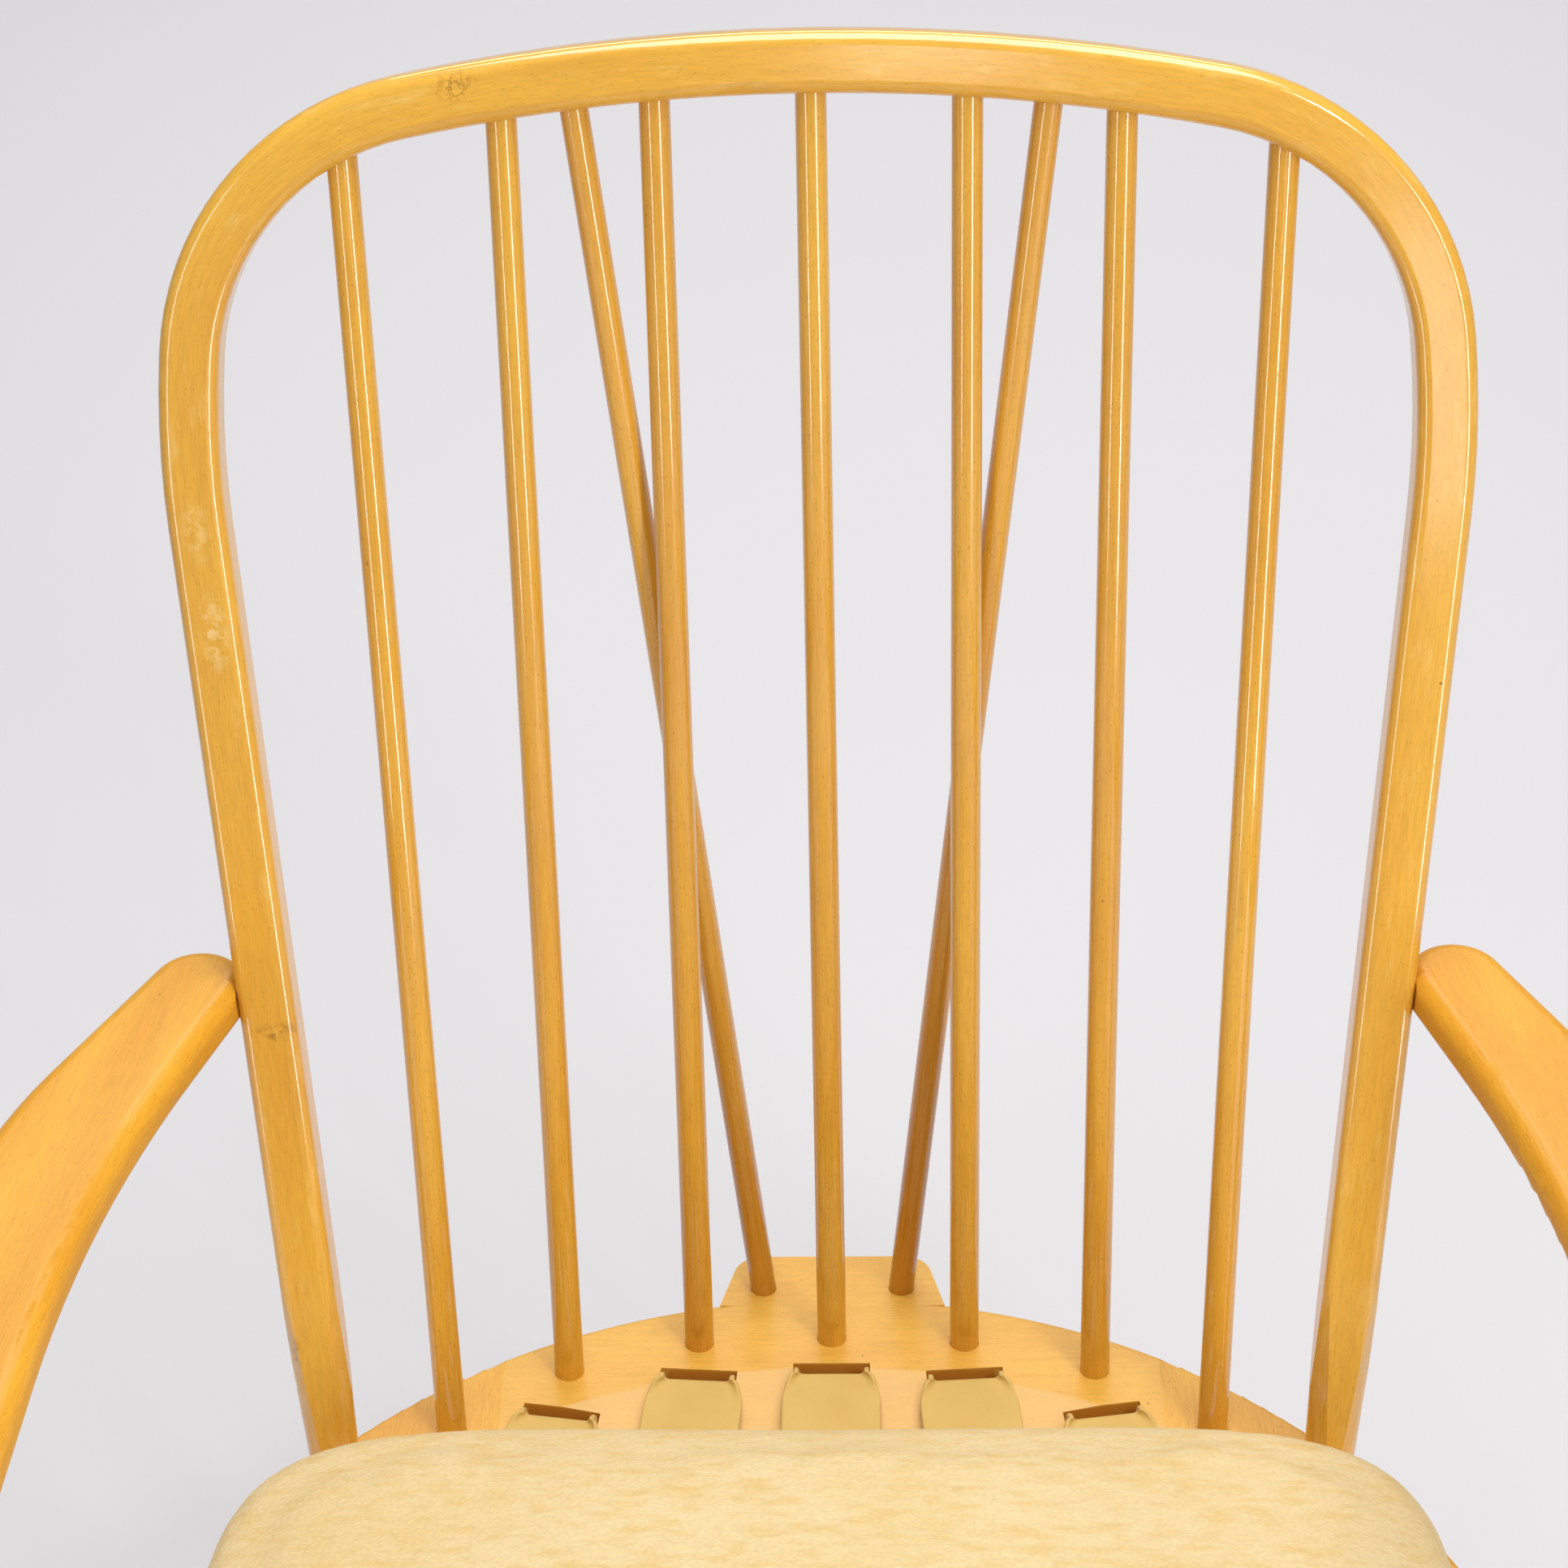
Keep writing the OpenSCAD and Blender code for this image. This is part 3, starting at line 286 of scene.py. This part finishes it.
# Wear on the bow, in millimetres. Each mark: its middle across, through and along the bow (below
# zero on the left), its half sizes, colour, strength and kind
wear = [
    ((-4, 12, -659), (13, 8, 6), "#8f6118", 0.8, "smudge"),
    ((5, 12, -153), (9, 8, 11), "#a06c1a", 0.8, "scribble"),
    ((-2, 12, -462), (8, 8, 22), "#f6dc9c", 0.6, "smudge"),
    ((0, 12, -415), (8, 8, 18), "#f3d48c", 0.45, "smudge"),
    ((10, 10, -828), (5, 10, 11), "#6b4518", 0.6, "smudge"),
]


def bowMarks(tree, colour, place):
    broken = add(tree, "TexNoise", {"Vector": place, "Scale": 1 / 4.5, "Detail": 4, "Roughness": 0.65})[0]
    for middle, half, tint, strength, kind in wear:
        off = add(tree, "VectorMath", {0: place, 1: middle}, operation="SUBTRACT")[0]
        off = add(tree, "VectorMath", {0: off, 1: half}, operation="DIVIDE")[0]
        far = add(tree, "VectorMath", {0: off}, operation="LENGTH")["Value"]
        inside = add(tree, "MapRange", {0: far, 1: 1, 2: 0.25, 3: 0, 4: strength})[0]
        if kind == "smudge":
            shape = add(tree, "MapRange", {0: broken, 1: 0.44, 2: 0.6, 3: 0, 4: 1})[0]
        else:
            line = add(tree, "Math", {0: broken, 1: 0.5}, operation="SUBTRACT")[0]
            line = add(tree, "Math", {0: line}, operation="ABSOLUTE")[0]
            shape = add(tree, "MapRange", {0: line, 1: 0.045, 2: 0.015, 3: 0, 4: 1})[0]
        share = add(tree, "Math", {0: inside, 1: shape}, operation="MULTIPLY")[0]
        colour = add(tree, "Mix", {0: share, 6: colour, 7: linear(tint)}, data_type="RGBA")[2]
    # the lacquer is rubbed paler in small patches everywhere
    rubbed = add(tree, "VectorMath", {0: place, 1: (1 / 7, 1 / 7, 1 / 26)}, operation="MULTIPLY")[0]
    rubbed = add(tree, "TexNoise", {"Vector": rubbed, "Scale": 1, "Detail": 4, "Roughness": 0.7})[0]
    rubbed = add(tree, "MapRange", {0: rubbed, 1: 0.56, 2: 0.72, 3: 0, 4: 0.3})[0]
    return add(tree, "Mix", {0: rubbed, 6: colour, 7: linear("#f6d283")}, data_type="RGBA")[2]


woodCount = 0
for name, piece in sorted(cad.items()):
    kind = next((k for k in tones if name.startswith(k)), None)
    if kind is None and name != "arm_dowels":
        continue
    tone, *look = tones[kind or "frame_dowels"]
    woodCount += 1
    # no two pieces are quite the same tone
    tone += 0.1 * math.sin(woodCount * 2.4)
    axis = longAxis(piece)
    if kind == "bow":
        grain = bentGrain
    elif kind in ("rear_rail", "front_rail", "tail_block", "frame_dowels", None):
        grain = straightGrain(seat["place"], (1, 0, 0))
    elif kind == "side_rail":
        grain = straightGrain(seat["place"], seatFront)
    else:
        grain = straightGrain(*axis, roll=woodCount)
    extra = {"bow": bowMarks, "rear_rail": seatSlopeAndSlotShade}.get(kind)
    rod = axis if kind in ("stick", "brace") else None
    dressed(piece, lacqueredBeech("lacquered beech " + name, grain, look, tone, woodCount, extra, rod))
print("beech:", woodCount, "pieces")

# Rubber webbing, smooth, matt and cream, stretched over the seat. It is pinched where it goes
# down into a rear slot, so that its edges curl up there. Millimetres on the seat's face, with
# the first number of each list for the middle strap.
webbing = {
    "slotX": (0, 69.4, 139.2), "slotY": (-25.5, -30, -57.9), "turn": (0, 4, 9), "reach": 592,
    "thick": 2.5, "half": 25.4, "neckHalf": 19.5, "neckLong": 18, "curl": 98, "curlMm": 6.2,
    "under": 0.05, "bendAt": 7.2, "bendR": 2, "limbEnd": -39.06, "loopAt": -1.3, "loopR": 5.25,
    "colour": "#d9b766", "shade": "#cda957", "ribMm": 1.4, "cloudMm": 30, "rough": 0.62,
}


# half a section of the strap: points along its top, round its edge and back along its underside
def webbingHalf(half, curl):
    thick, arc, nose = webbing["thick"], webbing["curlMm"], 0.6
    curl = max(curl, 0.001)
    steep = min(curl, math.pi / 2)
    radius = arc / curl
    flat = half - (radius + thick / 2) * math.sin(steep) - nose * math.cos(steep)
    middle = [(flat * i / 8, 0, 0) for i in range(8)]
    for i in range(9):
        bent = curl * i / 8
        middle.append((flat + radius * math.sin(bent), radius * (1 - math.cos(bent)), bent))
    top = [(x - thick / 2 * math.sin(b), up + thick / 2 * math.cos(b)) for x, up, b in middle]
    under = [(x + thick / 2 * math.sin(b), up - thick / 2 * math.cos(b)) for x, up, b in middle]
    x, up, b = middle[-1]
    edge = []
    for out, rise in ((0.7, 0.7), (1, 0), (0.7, -0.7)):
        edge.append((
            x + nose * out * math.cos(b) - thick / 2 * rise * math.sin(b),
            up + nose * out * math.sin(b) + thick / 2 * rise * math.cos(b)))
    return top + edge + under[::-1]


# the middle line of one end, from the tail of its loop to the start of the flat run: place
# along and up, direction of its top side, half width and curl
def webbingEnd(half, curl):
    path = []
    up = webbing["limbEnd"]
    mid = webbing["under"] + webbing["thick"] / 2
    limb = webbing["bendAt"] - webbing["bendR"] - webbing["thick"] / 2

    def station(y, z, heading, share=0.0):
        # the top side is to the left of the way the line runs
        path.append((y, z, (-math.sin(heading), math.cos(heading)), half, curl * share))
    pinY, pinR = webbing["loopAt"], webbing["loopR"]
    tailY = limb - webbing["thick"] - 0.1
    turnR = 3.6
    joinY = pinY + pinR * math.cos(math.radians(120))
    joinZ = up + pinR * math.sin(math.radians(120))
    slope = math.radians(30)
    run = (tailY - joinY - 0.5 * turnR) / math.cos(slope)
    cornerY, cornerZ = joinY + run * math.cos(slope), joinZ + run * math.sin(slope)
    centreY, centreZ = cornerY - turnR * math.sin(slope), cornerZ + turnR * math.cos(slope)
    for z in (centreZ + 6, centreZ + 3):
        station(tailY, z, -math.pi / 2)
    for i in range(5):
        angle = math.radians(-15 * i)
        station(centreY + turnR * math.cos(angle), centreZ + turnR * math.sin(angle), angle - math.pi / 2)
    for i in range(17):
        angle = math.radians(120 + 15 * i)
        station(pinY + pinR * math.cos(angle), up + pinR * math.sin(angle), angle + math.pi / 2)
    length = webbing["under"] - webbing["bendR"] - up
    for i in range(1, 7):
        station(limb, up + length * i / 7, math.pi / 2, (i / 7) ** 1.5)
    bendR = webbing["bendR"] + webbing["thick"] / 2
    for i in range(11):
        angle = math.radians(180 - 9 * i)
        station(webbing["bendAt"] + bendR * math.cos(angle),
                mid - bendR + bendR * math.sin(angle), angle - math.pi / 2, 1.0)
    return path


def webbingStrap(number):
    k = abs(number - 3)
    side = -1 if number < 3 else 1
    turn = math.radians(webbing["turn"][k])
    long = (webbing["reach"] + webbing["slotY"][k]) / math.cos(turn)
    wide, neck, neckLong = webbing["half"], webbing["neckHalf"], webbing["neckLong"]
    mid = webbing["under"] + webbing["thick"] / 2
    path = webbingEnd(neck, math.radians(webbing["curl"]))
    for out in (0.6, 1.4, 2.6, 4.2, 6.2, 8.6, 11.4, 14.6, 18, 22, 28):
        share = min(1, out / neckLong)
        half = neck + (wide - neck) * math.sqrt(1 - (1 - share) ** 2)
        fade = (1 - min(1, out / (neckLong * 0.75))) ** 1.3
        path.append((webbing["bendAt"] + out, mid, (0, 1), half, math.radians(webbing["curl"]) * fade))
    steps = 16
    first, last = webbing["bendAt"] + 28, long - webbing["bendAt"]
    for i in range(1, steps):
        path.append((first + (last - first) * i / steps, mid, (0, 1), wide, 0))
    for y, z, out, half, curl in reversed(webbingEnd(wide, 0)):
        path.append((long - y, z, (-out[0], out[1]), wide, 0))
    local = Matrix.Translation((side * webbing["slotX"][k], webbing["slotY"][k], 0)) @ Matrix.Rotation(
        math.pi + side * turn, 4, "Z")
    mesh = bmesh.new()
    rings = []
    for y, z, out, half, curl in path:
        right = webbingHalf(half, curl)
        loop = right + [(-x, up) for x, up in right[-2:0:-1]]
        ring = []
        for x, up in loop:
            point = seatToWorld @ (local @ Vector((x, y + out[0] * up, z + out[1] * up)) / 1000)
            ring.append(mesh.verts.new(point))
        rings.append(ring)
    count = len(rings[0])
    for a, b in zip(rings, rings[1:]):
        for i in range(count):
            j = (i + 1) % count
            mesh.faces.new((a[i], a[j], b[j], b[i]))
    mesh.faces.new(rings[0])
    mesh.faces.new(rings[-1][::-1])
    bmesh.ops.recalc_face_normals(mesh, faces=mesh.faces)
    for face in mesh.faces:
        face.smooth = len(face.verts) == 4
    shape = bpy.data.meshes.new("strap")
    mesh.to_mesh(shape)
    mesh.free()
    piece = bpy.data.objects.new("webbing_strap_%d" % number, shape)
    bpy.context.scene.collection.objects.link(piece)
    return piece


def wovenWebbing(tree):
    here = onPlane(tree, seat)
    x, y, w = add(tree, "SeparateXYZ", {0: here})
    weave = []
    for line in (x, y):
        turn = add(tree, "Math", {0: line, 1: 2 * math.pi / webbing["ribMm"]}, operation="MULTIPLY")[0]
        weave.append(add(tree, "Math", {0: turn}, operation="SINE")[0])
    weave = add(tree, "Math", {0: weave[0], 1: weave[1]}, operation="MULTIPLY")[0]
    cloud = add(tree, "TexNoise", {"Vector": here, "Scale": 1 / webbing["cloudMm"], "Detail": 3})[0]
    share = add(tree, "MapRange", {0: cloud, 1: 0.35, 2: 0.7, 3: 0, 4: 0.5})[0]
    share = add(tree, "Math", {0: weave, 1: 0.05, 2: share}, operation="MULTIPLY_ADD")[0]
    colour = add(tree, "Mix", {
        0: share, 6: linear(webbing["colour"]), 7: linear(webbing["shade"])}, data_type="RGBA")[2]
    bump = add(tree, "Bump", {"Height": weave, "Strength": 0.2, "Distance": 0.0002})[0]
    return add(tree, "BsdfPrincipled", {
        "Base Color": colour, "Roughness": webbing["rough"], "Specular IOR Level": 0.35,
        "Sheen Weight": 0.1, "Normal": bump})[0]


webbingCloth = finished("woven rubber webbing", wovenWebbing)
for number in range(1, 6):
    strap = webbingStrap(number)
    dressed(strap, webbingCloth)
    dressed(cad["strap_%d" % number], webbingCloth)
    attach(strap, "frame")
    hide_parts("strap_%d" % number)


# Drawn mild steel rod: dull grey with fine lengthwise draw lines
def drawnSteel(tree):
    here = add(tree, "TexCoord")["Object"]
    lines = add(tree, "VectorMath", {0: here, 1: (8, 900, 900)}, operation="MULTIPLY")[0]
    draw = add(tree, "TexNoise", {"Vector": lines, "Scale": 1, "Detail": 3})[0]
    colour = add(tree, "Mix", {0: draw, 6: linear("#8c8984"), 7: linear("#5e5b57")}, data_type="RGBA")[2]
    rough = add(tree, "MapRange", {0: draw, 1: 0.3, 2: 0.7, 3: 0.32, 4: 0.5})[0]
    bump = add(tree, "Bump", {"Height": draw, "Strength": 0.15, "Distance": 0.0002})[0]
    return add(tree, "BsdfPrincipled", {
        "Base Color": colour, "Metallic": 1, "Roughness": rough, "Normal": bump})[0]


dressed(cad["strap_pins"], finished("drawn steel rod", drawnSteel))


# Open-cell foam: pale, dull, with pinholes about a millimetre across
def openCellFoam(tree):
    here = add(tree, "TexCoord")["Object"]
    cells = add(tree, "TexVoronoi", {"Vector": here, "Scale": 900})["Distance"]
    colour = add(tree, "Mix", {0: cells, 6: linear("#e9dcae"), 7: linear("#f6efcf")}, data_type="RGBA")[2]
    bump = add(tree, "Bump", {"Height": cells, "Strength": 0.5, "Distance": 0.0006})[0]
    return add(tree, "BsdfPrincipled", {"Base Color": colour, "Roughness": 0.95, "Normal": bump})[0]


dressed(cad["cushion_foam"], finished("open-cell foam", openCellFoam))
print("webbing, pins and foam")

# Cushion cover, swelled over the foam as cloth; lengths in metres, limits in millimetres
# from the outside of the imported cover
cushion = {
    "voxel": 0.006, "shrink": 0.004, "steps": 20, "cap": 0.007,
    "cloth": {
        "quality": 5, "mass": 0.25, "tension_stiffness": 12, "compression_stiffness": 12,
        "shear_stiffness": 5, "bending_stiffness": 0.8,
        "use_pressure": True, "uniform_pressure_force": 4,
    },
    "inward": -1.2, "outward": 3.5, "swell": 2.2,
    "cream": "#e0cb9c", "tint": "#d9b365", "shade": "#dac083", "seamMm": 13,
}


# the outer skin of the hollow cover, as one welded mesh
def outerSkin(source):
    mesh = bmesh.new()
    mesh.from_mesh(source.data)
    bmesh.ops.remove_doubles(mesh, verts=mesh.verts, dist=1e-5)
    mesh.verts.ensure_lookup_table()
    seen, groups = set(), []
    for start in mesh.verts:
        if start in seen:
            continue
        group, edge = [], [start]
        seen.add(start)
        while edge:
            here = edge.pop()
            group.append(here)
            for link in here.link_edges:
                other = link.other_vert(here)
                if other not in seen:
                    seen.add(other)
                    edge.append(other)
        groups.append(group)
    widest = max(groups, key=lambda g: max(v.co.x for v in g) - min(v.co.x for v in g))
    keep = set(widest)
    bmesh.ops.delete(mesh, geom=[v for v in mesh.verts if v not in keep], context="VERTS")
    bmesh.ops.recalc_face_normals(mesh, faces=mesh.faces)
    skin = bpy.data.meshes.new("cushion skin")
    mesh.to_mesh(skin)
    mesh.free()
    return skin


def applied(piece):
    graph = bpy.context.evaluated_depsgraph_get()
    result = bpy.data.meshes.new_from_object(piece.evaluated_get(graph))
    piece.modifiers.clear()
    old = piece.data
    piece.data = result
    bpy.data.meshes.remove(old)


def swelledCushion():
    skin = outerSkin(cad["cushion_cover"])
    tree = BVHTree.FromPolygons(
        [v.co.copy() for v in skin.vertices], [list(f.vertices) for f in skin.polygons])
    fromSeat = seatToWorld.inverted()
    underside = min((fromSeat @ v.co).z for v in skin.vertices)
    piece = bpy.data.objects.new("chenille_cushion", skin)
    bpy.context.scene.collection.objects.link(piece)
    for v in skin.vertices:
        v.co -= v.normal * cushion["shrink"]
    remesh = piece.modifiers.new("even weave", "REMESH")
    remesh.mode = "VOXEL"
    remesh.voxel_size = cushion["voxel"]
    applied(piece)
    rest = [v.co.copy() for v in piece.data.vertices]
    cloth = piece.modifiers.new("cover", "CLOTH")
    for key, value in cushion["cloth"].items():
        setattr(cloth.settings, key, value)
    cloth.settings.effector_weights.gravity = 0
    for step in range(1, cushion["steps"] + 1):
        bpy.context.scene.frame_set(step)
    applied(piece)
    bpy.context.scene.frame_set(1)
    for v, start in zip(piece.data.vertices, rest):
        move = v.co - start
        if move.length > cushion["cap"]:
            v.co = start + move.normalized() * cushion["cap"]
        # soft hollows where the filling has settled
        x, y, w = (fromSeat @ v.co) * 1000
        rise = min(1, max(0, (w - 20) / 40))
        wave = noise.noise(Vector((x / 95, y / 80, w / 60))) * cushion["swell"] * rise
        skinPoint, skinNormal, face, gap = tree.find_nearest(v.co)
        out = (v.co - skinPoint).dot(skinNormal) * 1000
        wanted = min(cushion["outward"], max(cushion["inward"], out + 1.5 + wave))
        v.co += skinNormal * (wanted - out) / 1000
        local = fromSeat @ v.co
        local.z = max(local.z, underside)
        v.co = seatToWorld @ local
    smooth = piece.modifiers.new("smooth", "SUBSURF")
    smooth.levels = smooth.render_levels = 1
    applied(piece)
    for face in piece.data.polygons:
        face.use_smooth = True
    return piece


# Chenille: tufted cotton yarn, cream, brushed in short streaks across the seat, soft and dull
def chenille(tree):
    here = onPlane(tree, seat)
    wide = add(tree, "VectorMath", {0: here, 1: (1 / 17, 1 / 6, 1 / 6)}, operation="MULTIPLY")[0]
    patch = add(tree, "TexNoise", {"Vector": wide, "Scale": 1, "Detail": 1.2, "Roughness": 0.4})[0]
    patched = add(tree, "MapRange", {0: patch, 1: 0.44, 2: 0.8, 3: 0, 4: 0.62})[0]
    rows = add(tree, "VectorMath", {0: here, 1: (1 / 9, 1 / 2.6, 1 / 2.6)}, operation="MULTIPLY")[0]
    row = add(tree, "TexNoise", {"Vector": rows, "Scale": 1, "Detail": 1})[0]
    row = add(tree, "MapRange", {0: row, 1: 0.35, 2: 0.75, 3: 0, 4: 0.16})[0]
    patched = add(tree, "Math", {0: row, 1: patched})[0]
    colour = add(tree, "Mix", {
        0: patched, 6: linear(cushion["cream"]), 7: linear(cushion["tint"])}, data_type="RGBA")[2]
    drift = add(tree, "TexNoise", {"Vector": here, "Scale": 1 / 70, "Detail": 2})[0]
    drifted = add(tree, "MapRange", {0: drift, 1: 0.4, 2: 0.75, 3: 0, 4: 0.5})[0]
    colour = add(tree, "Mix", {
        0: drifted, 6: colour, 7: linear(cushion["shade"])}, data_type="RGBA")[2]
    # tufts lie in rows 1.8 mm apart, a little coarser than the real yarn so that they show
    tuft = add(tree, "VectorMath", {0: here, 1: (1 / 2.8, 1 / 1.8, 1 / 1.8)}, operation="MULTIPLY")[0]
    pile = add(tree, "TexVoronoi", {"Vector": tuft, "Scale": 1, "Randomness": 0.85})["Distance"]
    shaded = add(tree, "MapRange", {0: pile, 1: 0.1, 2: 0.9, 3: 1.03, 4: 0.92})[0]
    colour = add(tree, "VectorMath", {0: colour, 3: shaded}, operation="SCALE")[0]
    # the closing seam runs low round the sides, out of the photograph's sight; its line is painted darker
    # as shade in the seam's crease
    x, y, w = add(tree, "SeparateXYZ", {0: here})
    off = add(tree, "Math", {0: w, 1: cushion["seamMm"]}, operation="SUBTRACT")[0]
    off = add(tree, "Math", {0: off}, operation="ABSOLUTE")[0]
    seam = add(tree, "MapRange", {0: off, 1: 1.6, 2: 0.3, 3: 0, 4: 1})[0]
    seamShade = add(tree, "Math", {0: seam, 1: 0.45}, operation="MULTIPLY")[0]
    colour = add(tree, "Mix", {0: seamShade, 6: colour, 7: linear("#b98e48")}, data_type="RGBA")[2]
    lump = add(tree, "TexNoise", {"Vector": wide, "Scale": 1.7, "Detail": 2})[0]
    height = add(tree, "Math", {0: pile, 1: -0.6, 2: lump}, operation="MULTIPLY_ADD")[0]
    height = add(tree, "Math", {0: seam, 1: -2, 2: height}, operation="MULTIPLY_ADD")[0]
    bump = add(tree, "Bump", {"Height": height, "Strength": 0.45, "Distance": 0.0011})[0]
    return add(tree, "BsdfPrincipled", {
        "Base Color": colour, "Roughness": 0.9, "Specular IOR Level": 0.2, "Sheen Weight": 0.25,
        "Sheen Roughness": 0.5, "Sheen Tint": linear("#ffeecb"), "Normal": bump})[0]


cover = swelledCushion()
dressed(cover, finished("cream chenille", chenille))
dressed(cad["cushion_cover"], cover.data.materials[0])
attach(cover, "cushion")
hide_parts("cushion_cover")
print("cushion:", len(cover.data.polygons), "faces")

# Studio: a pale floor, a broad soft light overhead, one behind for the background, a small key
# for the sticks' soft shadows, two tall strips beside the camera that draw the thin bright lines
# down the sticks, and two small lamps that glint on the bow
studio = {
    "floor": "#c4c2c4", "mottle": "#bfbdbf", "glow": 0.17, "world": 0.25,
    "lights": [
        # name, place, aimed at, width, height, watts
        ("overhead", (0.3, 0.3, 3.8), (0, 0.2, 0.5), 2.6, 2.2, 106),
        ("back", (0, 3.4, 3.2), (0, 2.9, 0), 3.0, 1.2, 58),
        ("key", (1.3, -1.3, 2.5), (0, 0.2, 0.4), 0.35, 0.35, 12),
        ("strip left", (-1.75, -2.1, 1.08), (0, 0.3, 1.08), 0.26, 2.1, 15),
        ("strip right", (1.75, -2.1, 1.08), (0, 0.3, 1.08), 0.42, 2.1, 30),
        ("glint crown", (0.11, -2.3, 1.62), (0.05, 0.37, 1.0), 0.24, 0.09, 0.6),
        ("glint flank", (0.72, -2.3, 1.16), (0.27, 0.33, 0.85), 0.1, 0.4, 0.7),
    ],
}
ground = bpy.data.meshes.new("floor")
ground.from_pydata([(-9, -7, 0), (9, -7, 0), (9, 11, 0), (-9, 11, 0)], [], [(0, 1, 2, 3)])
floor = bpy.data.objects.new("studio_floor", ground)
bpy.context.scene.collection.objects.link(floor)


# Painted studio floor: pale, even and dull, with a faint mottle; a little light of its own,
# seen by the camera and in reflections only, keeps it pale without more lamps
def paintedFloor(tree):
    here = add(tree, "TexCoord")["Object"]
    mottle = add(tree, "TexNoise", {"Vector": here, "Scale": 3, "Detail": 4})[0]
    share = add(tree, "MapRange", {0: mottle, 1: 0.3, 2: 0.7, 3: 0, 4: 0.1})[0]
    colour = add(tree, "Mix", {
        0: share, 6: linear(studio["floor"]), 7: linear(studio["mottle"])}, data_type="RGBA")[2]
    paint = add(tree, "BsdfPrincipled", {
        "Base Color": colour, "Roughness": 0.85, "Specular IOR Level": 0.1})[0]
    rays = add(tree, "LightPath")
    seen = add(tree, "Math", {0: rays["Is Camera Ray"], 1: rays["Is Glossy Ray"]}, operation="MAXIMUM")[0]
    seen = add(tree, "Math", {0: seen, 1: rays["Is Transmission Ray"]}, operation="MAXIMUM")[0]
    strength = add(tree, "Math", {0: seen, 1: studio["glow"]}, operation="MULTIPLY")[0]
    glow = add(tree, "Emission", {"Color": linear("#f6f4f6"), "Strength": strength})[0]
    return add(tree, "AddShader", {0: paint, 1: glow})[0]


dressed(floor, finished("painted floor", paintedFloor))

for name, place, aim, width, height, watts in studio["lights"]:
    lamp = bpy.data.lights.new(name, "AREA")
    lamp.shape, lamp.size, lamp.size_y, lamp.energy = "RECTANGLE", width, height, watts
    stand = bpy.data.objects.new(name, lamp)
    stand.location = place
    stand.rotation_euler = (Vector(aim) - Vector(place)).to_track_quat("-Z", "Y").to_euler()
    bpy.context.scene.collection.objects.link(stand)

world = bpy.data.worlds.new("studio air")
bpy.context.scene.world = world
world.use_nodes = True
air = world.node_tree
air.nodes.clear()
rays = add(air, "LightPath")
seen = add(air, "Math", {0: rays["Is Camera Ray"], 1: rays["Is Transmission Ray"]}, operation="MAXIMUM")[0]
dim = add(air, "Background", {"Color": linear("#f3f4f6"), "Strength": studio["world"]})[0]
bright = add(air, "Background", {"Color": linear("#e9e8ea"), "Strength": 1})[0]
add(air, "OutputWorld", {"Surface": add(air, "MixShader", {0: seen, 1: dim, 2: bright})[0]})

lens = bpy.data.cameras.new("camera")
lens.lens, lens.sensor_width = 74.53, 36
camera = bpy.data.objects.new("camera", lens)
camera.location = (0.0262286, -0.9645505, 1.5365623)
camera.rotation_euler = [math.radians(a) for a in (54.28853, 1.35234, 1.04744)]
bpy.context.scene.collection.objects.link(camera)
bpy.context.scene.camera = camera
bpy.context.scene.view_settings.view_transform = "Standard"
print("studio and camera")
